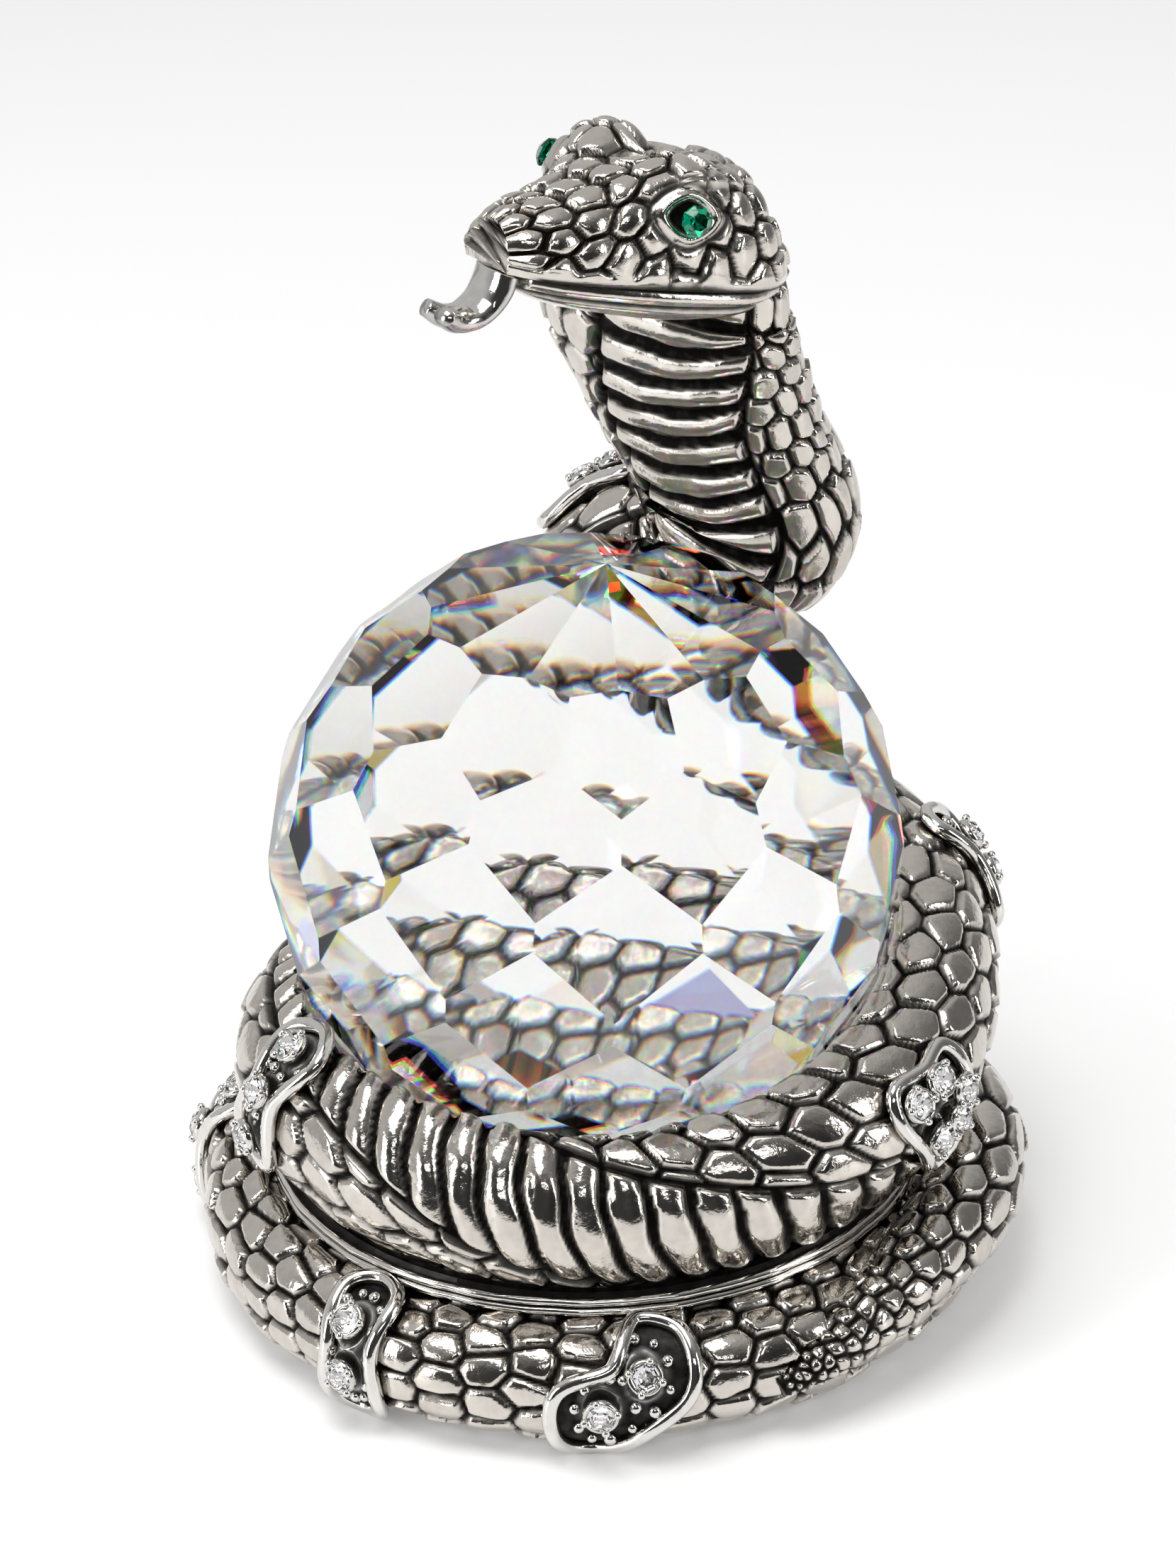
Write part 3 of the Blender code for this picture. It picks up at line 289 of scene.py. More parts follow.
def scale_relief(u, turns, count, pitch, width, seed, groove=0.34, depth=0.5):
    """Height and dirt of a skin of scales. Each scale is domed, and leans its own way."""
    bulge, tilt, uneven = 0.24, 0.17, 0.3
    edge, mark, du, dv = cell_pattern(u, turns, count, pitch, width, seed)
    size = 0.5 * np.minimum(pitch, width)
    raised = ramp(edge, 0.1, 0.1 + groove * 1.5)
    dome = 1 - np.clip((du * du + dv * dv) / (1.7 * size) ** 2, 0, 1)
    lean = tilt * du / size * np.cos(6.28 * mark) + tilt * dv / size * np.sin(6.28 * mark)
    height = depth * (raised - 1) + bulge * dome * raised + (lean + uneven * (mark - 0.5)) * raised
    patina_and_shade = 1 - ramp(edge, groove * 0.55, groove * 1.45)
    worn = 0.22 * ramp(1 - dome, 0.45, 1.0) + 0.1 * mark
    return height, np.clip(patina_and_shade + worn * (1 - patina_and_shade), 0, 1)


def belly_relief(u, across, half, pitch, seed, gap=0.0):
    """Height and dirt of a band of belly plates. across runs from -half to half, in millimetres."""
    groove_depth, plate_height = 0.6, 0.95
    bow = 0.9 * np.cos(across / half * math.pi / 2)
    wobble = 0.14 * np.sin(across * 0.9 + np.floor(u / pitch) * 2.4 + seed)
    t = (u + bow + wobble) / pitch
    number = np.floor(t)
    f = t - number
    rim = np.minimum(f, 1 - f) * pitch
    raised = ramp(rim, 0.12, 0.62 + gap)
    crest = np.sin(math.pi * np.clip(f, 0, 1)) ** (0.7 + gap)
    side = half - np.abs(across)
    taper = ramp(side, 0.15, 0.9)
    lumps = 0.05 * np.sin(across * 1.7 + 9 * chance(number, 1, seed)) * raised
    height = -groove_depth + (plate_height * crest * raised + lumps) * taper
    patina_and_shade = np.maximum(1 - ramp(rim, 0.25 + gap, 0.62 + gap), 1 - ramp(side, 0.2, 0.6))
    return height, np.clip(patina_and_shade + 0.05 + 0.1 * (1 - crest), 0, 1)


# ------------------------------------------------------------------ meshes


def make_object(name, points, faces, look, body, patina_and_shade):
    mesh = bpy.data.meshes.new(name)
    mesh.from_pydata((np.asarray(points) * MM).tolist(), [], [list(f) for f in faces])
    # This attribute holds black patina and painted shade together.
    layer = mesh.attributes.new("patina_and_shade", "FLOAT", "POINT")
    layer.data.foreach_set("value", np.asarray(patina_and_shade, np.float32).ravel())
    mesh.materials.append(look)
    mesh.shade_smooth()
    made = bpy.data.objects.new(name, mesh)
    bpy.context.scene.collection.objects.link(made)
    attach(made, body)
    return made


def stands_for(cad):
    """Hides the CAD piece that a silver piece replaces."""
    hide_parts(cad)


def grid_faces(rows, columns):
    """Faces between rings of points, each ring closed on itself."""
    i, j = np.meshgrid(np.arange(rows - 1), np.arange(columns), indexing="ij")
    k = (j + 1) % columns
    quads = np.stack((i * columns + j, i * columns + k, (i + 1) * columns + k, (i + 1) * columns + j), -1)
    return quads.reshape(-1, 4).tolist()


def capped_faces(rows, columns):
    """The same with a flat end on the first ring and on the last."""
    last = (rows - 1) * columns
    ends = [list(range(columns))[::-1], [last + j for j in range(columns)]]
    return grid_faces(rows, columns) + ends


def hoop_faces(rows, columns):
    """The same with the last ring joined to the first."""
    last = (rows - 1) * columns
    joint = [[last + j, last + (j + 1) % columns, (j + 1) % columns, j] for j in range(columns)]
    return grid_faces(rows, columns) + joint


def tube_mesh(name, grid, patina_and_shade, look, body, flip=False):
    """A closed skin from a grid of rings, with flat ends."""
    faces = capped_faces(*grid.shape[:2])
    if flip:
        faces = [f[::-1] for f in faces]
    return make_object(name, grid.reshape(-1, 3), faces, look, body, patina_and_shade.ravel())


def grid_normals(grid):
    along = np.gradient(grid, axis=0)
    wrapped = np.concatenate([grid[:, -1:], grid, grid[:, :1]], axis=1)
    across = (wrapped[:, 2:] - wrapped[:, :-2]) / 2
    return unit(np.cross(along, across))


def path_frame(rows, places):
    """Centres, half widths, half thicknesses, directions to belly and side, at these places."""
    fine = smooth_rows(rows, places)
    a, b, c = np.radians(fine[:, 0]), np.radians(fine[:, 5]), np.radians(fine[:, 0] + fine[:, 6])
    centres = np.stack((fine[:, 1] * np.cos(a), fine[:, 1] * np.sin(a), fine[:, 2]), 1)
    belly = np.stack((np.cos(c) * np.cos(b), np.sin(c) * np.cos(b), np.sin(b)), 1)
    along = unit(np.gradient(centres, axis=0))
    down = unit(belly - along * np.sum(belly * along, axis=1, keepdims=True))
    side = np.cross(along, down)
    lengths = np.concatenate([[0], np.cumsum(np.linalg.norm(np.diff(centres, axis=0), axis=1))])
    return centres, fine[:, 3], fine[:, 4], down, side, lengths


def keep_out_of_ball(points, room=BALL_ROOM):
    middle = np.array((0, 0, BALL_Z))
    away = points - middle
    far = np.linalg.norm(away, axis=-1, keepdims=True)
    reach = BALL_RADIUS + room
    return np.where(far < reach, middle + away / np.maximum(far, 1e-6) * reach, points)


# ------------------------------------------------------------------ materials


def principled(name):
    look = bpy.data.materials.new(name)
    look.use_nodes = True
    return look, look.node_tree, look.node_tree.nodes["Principled BSDF"]


def set_inputs(tree, target, inputs):
    """Gives each named input a value, or links another node's output to it."""
    for key, value in inputs.items():
        if isinstance(value, bpy.types.NodeSocket):
            tree.links.new(value, target.inputs[key])
        else:
            target.inputs[key].default_value = value


def node(tree, kind, inputs, **settings):
    """The first output of a new node."""
    made = tree.nodes.new(kind)
    for key, value in settings.items():
        setattr(made, key, value)
    set_inputs(tree, made, inputs)
    return made.outputs[0]


def named_output(tree, kind, name, **settings):
    made = tree.nodes.new(kind)
    for key, value in settings.items():
        setattr(made, key, value)
    return made.outputs[name]


def noise(tree, place, scale, detail, roughness=0.5):
    inputs = {"Vector": place, "Scale": scale, "Detail": detail, "Roughness": roughness}
    return node(tree, "ShaderNodeTexNoise", inputs)


def map_range(tree, value, from_low, from_high, to_low, to_high, kind="LINEAR"):
    inputs = {"Value": value, "From Min": from_low, "From Max": from_high}
    inputs |= {"To Min": to_low, "To Max": to_high}
    return node(tree, "ShaderNodeMapRange", inputs, interpolation_type=kind)


def colour_stops(tree, value, stops, kind="LINEAR"):
    """A colour that runs through these, given as position and colour."""
    made = tree.nodes.new("ShaderNodeValToRGB")
    made.color_ramp.interpolation = kind
    elements = made.color_ramp.elements
    for k, (position, colour) in enumerate(stops):
        stop = elements[k] if k < 2 else elements.new(position)
        stop.position, stop.color = position, (*colour, 1)
    set_inputs(tree, made, {"Fac": value})
    return made.outputs["Color"]


def silver_material(name, bright, dark, bump=0.00024, shine=0.13):
    """Polished silver plate, darkened by the point attribute: black patina in the hollows, and painted shade
    at the rims' and the cup's edges, under the wires, in the mouth and under the tongue.
    """
    look, tree, shader = principled(name)
    place = named_output(tree, "ShaderNodeTexCoord", "Object")
    patina_and_shade = named_output(tree, "ShaderNodeAttribute", "Fac", attribute_name="patina_and_shade")
    grain = noise(tree, place, 900, 4)
    spread = node(tree, "ShaderNodeMath", {0: grain, 1: 0.36, 2: -0.18}, operation="MULTIPLY_ADD")
    total = node(tree, "ShaderNodeMath", {0: patina_and_shade, 1: spread}, operation="ADD", use_clamp=True)
    half_patina_and_shade, full_patina_and_shade = [0.62 * c for c in bright], [0.16 * c for c in bright]
    stops = ((0.0, bright), (1.0, dark), (0.36, half_patina_and_shade), (0.62, full_patina_and_shade))
    pits = noise(tree, place, 520, 5, 0.55)
    raised = node(tree, "ShaderNodeBump", {"Strength": 0.55, "Distance": bump, "Height": pits})
    set_inputs(tree, shader, {
        "Base Color": colour_stops(tree, total, stops),
        "Roughness": map_range(tree, total, 0.15, 0.9, shine, 0.62),
        "Metallic": 1.0,
        "Normal": raised,
    })
    return look


def glass_material(name, colour, ior):
    look, tree, shader = principled(name)
    inputs = {"Base Color": (*colour, 1), "Roughness": 0.0, "IOR": ior, "Transmission Weight": 1.0}
    set_inputs(tree, shader, inputs)
    return look


def crystal_material(name, lobes):
    """Clear crystal that bends red, green and blue by different amounts."""
    look, tree, shader = principled(name)
    tree.nodes.remove(shader)
    total = None
    for colour, ior in lobes:
        inputs = {"Color": (*colour, 1), "Roughness": 0.0, "IOR": ior}
        glass = node(tree, "ShaderNodeBsdfGlass", inputs)
        both = {0: total, 1: glass}
        total = glass if total is None else node(tree, "ShaderNodeAddShader", both)
    set_inputs(tree, tree.nodes["Material Output"], {"Surface": total})
    return look


def plain_material(name, colour, roughness, metallic=0.0, grain_scale=600, bump=0.0):
    look, tree, shader = principled(name)
    grain = noise(tree, named_output(tree, "ShaderNodeTexCoord", "Object"), grain_scale, 3)
    stops = ((0.3, [0.8 * c for c in colour]), (0.7, [min(1, 1.15 * c) for c in colour]))
    tint = colour_stops(tree, grain, stops)
    set_inputs(tree, shader, {"Base Color": tint, "Roughness": roughness, "Metallic": metallic})
    if bump:
        raised = node(tree, "ShaderNodeBump", {"Distance": bump, "Height": grain})
        set_inputs(tree, shader, {"Normal": raised})
    return look


SILVER = silver_material("antique_silver", (0.64, 0.6, 0.55), (0.008, 0.007, 0.006))
WIRE_SILVER = silver_material(
    "polished_silver", (0.72, 0.7, 0.67), (0.01, 0.009, 0.008), bump=0.00008, shine=0.09
)
# Rows: colour let through, index of refraction
CRYSTAL_LOBES = (
    ((0.79, 0.08, 0.08), 1.51),
    ((0.08, 0.79, 0.08), 1.52),
    ((0.08, 0.08, 0.79), 1.532),
)
CRYSTAL = crystal_material("crystal", CRYSTAL_LOBES)
PASTE = glass_material("paste_stone", (0.98, 0.985, 1.0), 1.6)
EMERALD = glass_material("emerald_stone", (0.0, 0.3, 0.15), 1.55)
FELT = plain_material("felt", (0.03, 0.03, 0.035), 0.95, grain_scale=2500, bump=0.0003)
MAGNET = plain_material("nickel_magnet", (0.62, 0.62, 0.63), 0.25, 1.0)
STEEL = plain_material("steel_pin", (0.55, 0.55, 0.56), 0.3, 1.0, grain_scale=1500, bump=0.00003)


# ------------------------------------------------------------------ lower coil


def coil_size(azimuths):
    """Centre radius, centre height, half width and half height of the lower coil round the box."""
    plain = np.tile((RING_RADIUS, RING_HEIGHT, COIL_HALF_WIDTH, COIL_HALF_HEIGHT), (len(azimuths), 1))
    rows = np.array(FLANK_PATH)
    places = np.interp(azimuths, rows[::-1, 0], np.arange(len(rows))[::-1])
    swell = plain + smooth_rows(rows, places)[:, 1:]
    inside = ((azimuths >= rows[-1, 0]) & (azimuths <= rows[0, 0]))[:, None]
    swell = np.concatenate([swell[:, :2], np.maximum(swell[:, 2:], plain[:, 2:])], axis=1)
    return plain, np.where(inside, swell, plain)


def lathe(profile, azimuths):
    """Rings of points at these distances out and heights."""
    turn = np.radians(azimuths)
    rings = [np.stack((r * np.cos(turn), r * np.sin(turn), np.full(len(turn), z)), -1) for r, z in profile]
    return np.array(rings)


def coil_skin(azimuths, rows):
    """The outside of the lower coil, from the rims down to the foot."""
    plain, swell = coil_size(azimuths)
    a = np.pi / 2 - np.pi * (np.linspace(0, 1, rows) ** 1.0)
    across, up = bent(np.cos(a), COIL_FULLNESS)[:, None], bent(np.sin(a), COIL_FULLNESS)[:, None]
    flat_r, flat_z = plain[:, 0] + plain[:, 2] * across, plain[:, 1] + plain[:, 3] * up
    fat_r, fat_z = swell[:, 0] + swell[:, 2] * across, swell[:, 1] + swell[:, 3] * up
    share = ramp(fat_r, RIM_ROOM, RIM_ROOM + 2.0)
    r = flat_r + share * (fat_r - flat_r)
    z = np.maximum(flat_z + share * (fat_z - flat_z), FOOT_HEIGHT)
    turn = np.radians(azimuths)[None, :]
    return np.stack((r * np.cos(turn), r * np.sin(turn), z), -1)


def make_base(columns=900, rows=88):
    measured_at, skin_length = 36.0, 27.5
    scales_round, scales_down, scale_height = 50, 8, 3.44
    azimuths = np.arange(columns) * 360 / columns
    turn = np.radians(azimuths)[None, :]
    outer = coil_skin(azimuths, rows)
    normals = grid_normals(outer)
    if np.mean(normals[rows // 2, :, 0] * np.cos(turn[0])) < 0:
        normals = -normals
    step = np.linalg.norm(np.diff(outer, axis=0), axis=2)
    down = np.concatenate([np.zeros((1, columns)), np.cumsum(step, axis=0)])
    u = turn * measured_at + 0 * down
    pitch = 2 * math.pi * measured_at / scales_round
    height, patina_and_shade = scale_relief(u, down / skin_length, scales_down, pitch, scale_height, 5, groove=0.25)
    calm = ramp(down, 0.3, 1.2) * ramp(outer[..., 2], 0.4, 1.6)
    height = height * calm - 0.05
    patina_and_shade = np.maximum(patina_and_shade, 1 - ramp(down, 0.1, 0.5))
    outer = outer + normals * height[..., None]
    outer[..., 2] = np.maximum(outer[..., 2], FOOT_HEIGHT)
    lining, foot = lathe(BOX_LINING, azimuths), lathe(FELT_RECESS, azimuths)
    grid = np.concatenate([lining, outer, foot])
    dirt_all = np.concatenate([np.full(lining.shape[:2], 0.08), patina_and_shade, np.full(foot.shape[:2], 0.5)])
    dirt_all[len(BOX_LINING) - 1] = 1.0
    made = tube_mesh("base_scales", grid, dirt_all, SILVER, "base", flip=True)
    made.data.set_sharp_from_angle(angle=math.radians(60))
    stands_for("base_box")


def make_rims(columns=720):
    """The two rounded rims that meet at the seam."""
    turn = 2 * np.pi * np.arange(columns) / columns
    around = np.stack((np.cos(turn), np.sin(turn)), 1)
    a = np.linspace(-np.pi / 2, np.pi / 2, 15)
    wave = 0.04 * np.sin(23 * turn + 1) + 0.03 * np.sin(41 * turn)
    back, crown, swell = RIM_ROOM - 1.4, RIM_ROOM - 0.3, 0.45
    half = RIM_BEAD / 2
    rims = (("base_bead", "base_rim", BASE_RIM_Z, "base"), ("lid_bead", "lid_rim", LID_RIM_Z, "lid"))
    for name, cad, low, body in rims:
        profile = [(back, low)]
        profile += [(crown + swell * math.cos(b), low + half + half * math.sin(b)) for b in a]
        profile += [(back, low + RIM_BEAD)]
        rows = []
        for radius, height in profile:
            out = radius + wave * (radius > crown)
            rows.append(np.concatenate([around * out[:, None], np.full((columns, 1), height)], axis=1))
        grid = np.array(rows + rows[:1])
        faces = grid_faces(len(grid), columns)
        shade = np.zeros(grid.shape[:2])
        shade[:2] = 0.9
        shade[-3:] = 0.9
        made = make_object(name, grid.reshape(-1, 3), faces, WIRE_SILVER, body, shade)
        stands_for(cad)


def make_tail(rings=300, sides=120):
    scales_round, proud = 8, 1.6
    rows = np.array(TAIL_PATH, float)
    fine = smooth_rows(rows, np.linspace(0, len(rows) - 1, rings))
    a = np.radians(fine[:, 0])
    out = RING_RADIUS + fine[:, 1] + proud
    centres = np.stack((out * np.cos(a), out * np.sin(a), RING_HEIGHT + fine[:, 2]), 1)
    along = unit(np.gradient(centres, axis=0))
    side = unit(np.cross(np.tile((0.0, 0, 1), (rings, 1)), along))
    up = np.cross(along, side)
    turn = 2 * np.pi * np.arange(sides) / sides
    radius = fine[:, 3][:, None]
    way = side[:, None] * np.cos(turn)[None, :, None] + up[:, None] * np.sin(turn)[None, :, None]
    grid = centres[:, None] + radius[..., None] * way
    length = np.sum(np.linalg.norm(np.diff(centres, axis=0), axis=1))
    width = 2 * np.pi * radius / scales_round
    # The scales get shorter as the tail gets thinner.
    stretch = np.cumsum(4.2 / np.clip(fine[:, 3], 2.6, 9)) * (length / rings)
    u = stretch[:, None] + 0 * turn[None]
    turns = turn[None] / (2 * np.pi) + 0 * u
    height, patina_and_shade = scale_relief(u, turns, scales_round, 3.6, width, 11, groove=0.25)
    height = height * np.clip(radius / 5, 0.3, 1)
    grid = grid + way * (height - 0.05)[..., None]
    made = tube_mesh("tail_scales", grid, patina_and_shade, SILVER, "base")
    stands_for("tail")


# ------------------------------------------------------------------ snake


def body_skin(rows, first, last, rings, sides):
    """The smooth skin of a stretch of the snake, with what its relief is measured by."""
    places = np.linspace(first, last, rings)
    whole = np.linspace(0, len(rows) - 1, (len(rows) - 1) * 12 + 1)
    lengths_all = path_frame(rows, whole)[5]
    centres, wide, thick, down, side, _ = path_frame(rows, places)
    u = np.interp(places, whole, lengths_all)[:, None]
    turn = 2 * np.pi * np.arange(sides) / sides
    c, s = np.cos(turn), np.sin(turn)
    grid = (
        centres[:, None]
        - down[:, None] * (thick[:, None] * c)[..., None]
        + side[:, None] * (wide[:, None] * s)[..., None]
    )
    grid = keep_out_of_ball(grid, BALL_ROOM + 0.25)
    normals = grid_normals(grid)
    turned_in = np.sum(normals * (grid - centres[:, None]), axis=2).mean() < 0
    normals = -normals if turned_in else normals
    round_body = 2 * np.pi * (wide + thick)[:, None] / 2
    return grid, normals, centres, u, turn, round_body


def body_grid(rows, first, last, rings, sides, scales, belly, seed):
    """Points and dirt of a stretch of the snake, with scales round it and plates along its belly."""
    count, pitch = scales
    grid, normals, centres, u, turn, round_body = body_skin(rows, first, last, rings, sides)
    across = (turn[None] - np.pi) / (2 * np.pi) * round_body
    half = belly["half_angle"] / 360 * round_body
    shifted = across - belly["aside"] * ramp(centres[:, 2], *ASIDE_HEIGHTS)[:, None]
    turns = turn[None] / (2 * np.pi) + 0 * u
    height, patina_and_shade = scale_relief(u + 0 * across, turns, count, pitch, round_body / count, seed, groove=0.25)
    slant = u + belly["lead"] * across
    plates, plates_dirt = belly_relief(slant, shifted, half, belly["pitch"], seed, belly["gap"])
    share = ramp(half - np.abs(shifted), -0.25, 0.2)
    height = height + share * (plates - height)
    patina_and_shade = patina_and_shade + share * (plates_dirt - patina_and_shade)
    trough = np.exp(-((np.abs(shifted) - half) / 0.4) ** 2)
    height = height - 0.35 * trough
    patina_and_shade = np.maximum(patina_and_shade, trough)
    return keep_out_of_ball(grid + normals * (height - 0.08)[..., None], 0.35), patina_and_shade


def make_body():
    pieces = (
        ("coil_scales", "body_coil", 0, 13, 560, 180),
        ("riser_scales", "body_riser", 13, 19, 130, 160),
        ("arch_scales", "body_arch", 19, 24, 120, 160),
    )
    for name, cad, first, last, rings, sides in pieces:
        cut, patina_and_shade = body_grid(BODY_PATH, first, last, rings, sides, (12, 4.2), BODY_BELLY, 21)
        cut[..., 2] = np.maximum(cut[..., 2], LID_TOP + 0.05)
        made = tube_mesh(name, cut, patina_and_shade, SILVER, "lid")
        stands_for(cad)


def make_bowl(rings=110, sides=420):
    """The scaled cup that the ball sits in."""
    scales_round, scale_length, relief = 17, 3.4, 0.5
    inner, outer = 0.2 * BALL_RADIUS, 0.5 * BALL_RADIUS
    foot = LID_TOP + 0.1
    turn = 2 * np.pi * np.arange(sides) / sides
    r = np.linspace(inner, outer + 0.6, rings)[:, None] + 0 * turn
    z = BALL_Z - np.sqrt((BALL_RADIUS + 0.7) ** 2 - r**2)
    cup = np.stack((r * np.cos(turn), r * np.sin(turn), z), -1)
    up = unit(np.array((0, 0, BALL_Z)) - cup)
    turns = turn / (2 * np.pi) + 0 * r
    height, patina_and_shade = scale_relief(r, turns, scales_round, scale_length, r * 2 * np.pi / scales_round, 52)
    cup = cup + up * (height * relief)[..., None]

    def foot_ring(radius):
        return np.stack((radius * np.cos(turn), radius * np.sin(turn), np.full((1, sides), foot)), -1)

    grid = np.concatenate([foot_ring(r[:1]), cup, foot_ring(r[-1:])])
    edge = np.full((1, sides), 0.9)
    shade = np.concatenate([edge, patina_and_shade, edge])
    faces = [f[::-1] for f in hoop_faces(len(grid), sides)]
    made = make_object("ball_cup", grid.reshape(-1, 3), faces, SILVER, "lid", shade)
    stands_for("ball_seat_ring")


def make_hood():
    cut, patina_and_shade = body_grid(HOOD_PATH, 0, 10, 190, 236, (18, 3.7), HOOD_BELLY, 33)
    made = tube_mesh("hood_scales", cut, patina_and_shade, SILVER, "lid")
    stands_for("hood")


# ------------------------------------------------------------------ head


def head_axes():
    yaw, pitch = math.radians(HEAD_YAW), math.radians(HEAD_PITCH)
    forward = np.array((-math.cos(yaw) * math.cos(pitch), -math.sin(yaw) * math.cos(pitch), math.sin(pitch)))
    far_side = np.array((-math.sin(yaw), math.cos(yaw), 0.0))
    return forward, far_side, -np.cross(forward, far_side)


def head_world(points):
    f, s, u = head_axes()
    return np.array(HEAD_PLACE) + points[..., :1] * f + points[..., 1:2] * s + points[..., 2:] * u


def bump_at(points, middle, size):
    """1 at a point of the head's frame, falling away over size."""
    away = (points - np.array(middle)) / np.array(size)
    return np.exp(-np.sum(away**2, axis=-1))


def head_dome(fine, dome, floor):
    """Points of the head in its own frame: rings over the top, then back along the flat underside."""
    forward, half, top, square = (fine[:, k][:, None] for k in range(4))
    a = np.linspace(0, np.pi, dome)[None]
    across = half * bent(np.cos(a), square)
    up = GAP + (top - GAP) * np.sin(a) ** (2 / square)
    flat = np.linspace(-1, 1, floor + 2)[1:-1][None] * half
    across = np.concatenate([across, flat], axis=1)
    up = np.concatenate([up, np.full(flat.shape, GAP)], axis=1)
    local = np.stack((forward + 0 * across, across, up), -1)
    middle = np.stack((forward + 0 * across, 0 * across, 0.45 * top + 0 * across), -1)
    normals = grid_normals(local)
    return local, normals * np.sign(np.sum(normals * (local - middle), axis=2, keepdims=True))


def head_scales(local, strength):
    """Lift and dirt of the head's small overlapping scales."""
    skin_length, count, pitch, width = 48.0, 16, 2.9, 3.0
    round_length = np.linalg.norm(np.diff(local, axis=1), axis=2).mean(0)
    v = np.concatenate([[0], np.cumsum(round_length)])[None] + 0 * local[..., 0]
    edge, mark, du, dv = cell_pattern(local[..., 0], v / skin_length, count, pitch, width, 41, jitter=0.2)
    plates = ramp(edge, 0.04, 0.36)
    round_top = 1 - np.clip((du * du + dv * dv) / 4.0, 0, 1)
    domed = 0.55 * round_top + 0.16 * du + 0.16 * (mark - 0.5)
    lift = strength * (0.4 * (plates - 1) + domed * plates)
    return lift, strength * (1 - ramp(edge, 0.08, 0.27))


def eye_and_brow(local, lift, patina_and_shade, way, on_dome):
    """Adds an almond socket with a lid round it, and the ridge above it. way is -1 or 1, a side."""
    x, y, z = EYE_PLACE
    away = local - np.array((x - 0.2, way * (y - 0.6), z))
    along, high = away[..., 0], away[..., 2]
    near = np.sqrt((np.abs(along) / 1.0) ** 1.5 + (np.abs(high) / 0.76) ** 1.5 + (away[..., 1] * 0.4) ** 2)
    calm = ramp(near, 2.5, 3.2)
    lift = lift * calm
    patina_and_shade = patina_and_shade * calm
    lift += 0.6 * np.exp(-((near - 2.1) / 0.38) ** 2) - 0.3 * ramp(-near, -1.8, -1.4)
    patina_and_shade = np.maximum(patina_and_shade, ramp(-near, -1.85, -1.6))
    patina_and_shade = np.maximum(patina_and_shade, 0.9 * np.exp(-((near - 2.8) / 0.22) ** 2))
    brow = bump_at(local, (8.2, way * 9.4, 10.8), (5.0, 1.6, 1.1))
    lift = lift * (1 - 0.8 * brow)
    patina_and_shade = patina_and_shade * (1 - 0.8 * brow)
    fold = bump_at(local, (8.6, way * 9.9, 9.6), (4.6, 1.2, 0.35))
    brow_height = 1.4 if way < 0 else 0.1
    lift += (brow_height * brow - 0.4 * fold) * on_dome
    return lift, np.maximum(patina_and_shade, 0.8 * fold)


def make_head(rings=190, dome=210, floor=24):
    rows = np.array(HEAD_SECTIONS)
    fine = smooth_rows(rows, np.linspace(0, len(rows) - 1, rings))
    local, normals = head_dome(fine, dome, floor)
    forward, up = local[..., 0], local[..., 2]
    on_dome = np.concatenate([np.ones(dome), np.zeros(floor)])[None]
    lift, patina_and_shade = head_scales(local, on_dome * ramp(up, 1.0, 1.8))
    for way in (-1, 1):
        lift, patina_and_shade = eye_and_brow(local, lift, patina_and_shade, way, on_dome)
    far_eye = 1 - bump_at(local, EYE_PLACE, (5.2, 5.2, 5.2))
    for place, size, depth in HEAD_DENTS:
        lift -= depth * bump_at(local, place, size) * on_dome * far_eye
    lip = np.exp(-((up - 1.1) / 0.6) ** 2) * on_dome
    lift += 0.35 * lip
    # Painted shade: the lowest band of the head and its flat underside are darkened along the mouth, except
    # at the snout's tip.
    mouth_shade = (1 - ramp(up, GAP + 0.1, GAP + 0.5)) * 0.9
    patina_and_shade = np.maximum(patina_and_shade, mouth_shade * ramp(23.0 - forward, 0.0, 1.5))
    local = local + normals * lift[..., None]
    made = tube_mesh("head_scales", head_world(local), patina_and_shade, SILVER, "lid")
    stands_for("head")


def make_jaw(rings=130, dome=110, floor=16):
    rows = np.array(JAW_SECTIONS)
    fine = smooth_rows(rows, np.linspace(0, len(rows) - 1, rings))
    forward, half, deep = (fine[:, k][:, None] for k in range(3))
    a = np.linspace(0, np.pi, dome)[None]
    across = half * np.cos(a)
    up = -deep * np.sin(a) ** 0.8
    flat = np.linspace(-1, 1, floor + 2)[1:-1][None] * half
    across = np.concatenate([across, flat], axis=1)
    up = np.concatenate([up, np.zeros(flat.shape)], axis=1)
    local = np.stack((forward + 0 * across, across, up), -1)
    middle = np.stack((forward + 0 * across, 0 * across, -0.4 * deep + 0 * across), -1)
    normals = grid_normals(local)
    normals = normals * np.sign(np.sum(normals * (local - middle), axis=2, keepdims=True))
    lip = np.exp(-((up + 0.7) / 0.5) ** 2)
    groove = np.exp(-((up + 1.9) / 0.3) ** 2)
    lift = 0.35 * lip - 0.4 * groove
    # The groove is patina; the jaw's top face, inside the mouth, is black with painted shade.
    patina_and_shade = np.clip(0.9 * groove + (1 - ramp(-up, 0.05, 0.35)), 0, 1)
    local = local + normals * lift[..., None]
    made = tube_mesh("jaw_skin", head_world(local), patina_and_shade, SILVER, "lid")
    stands_for("jaw")


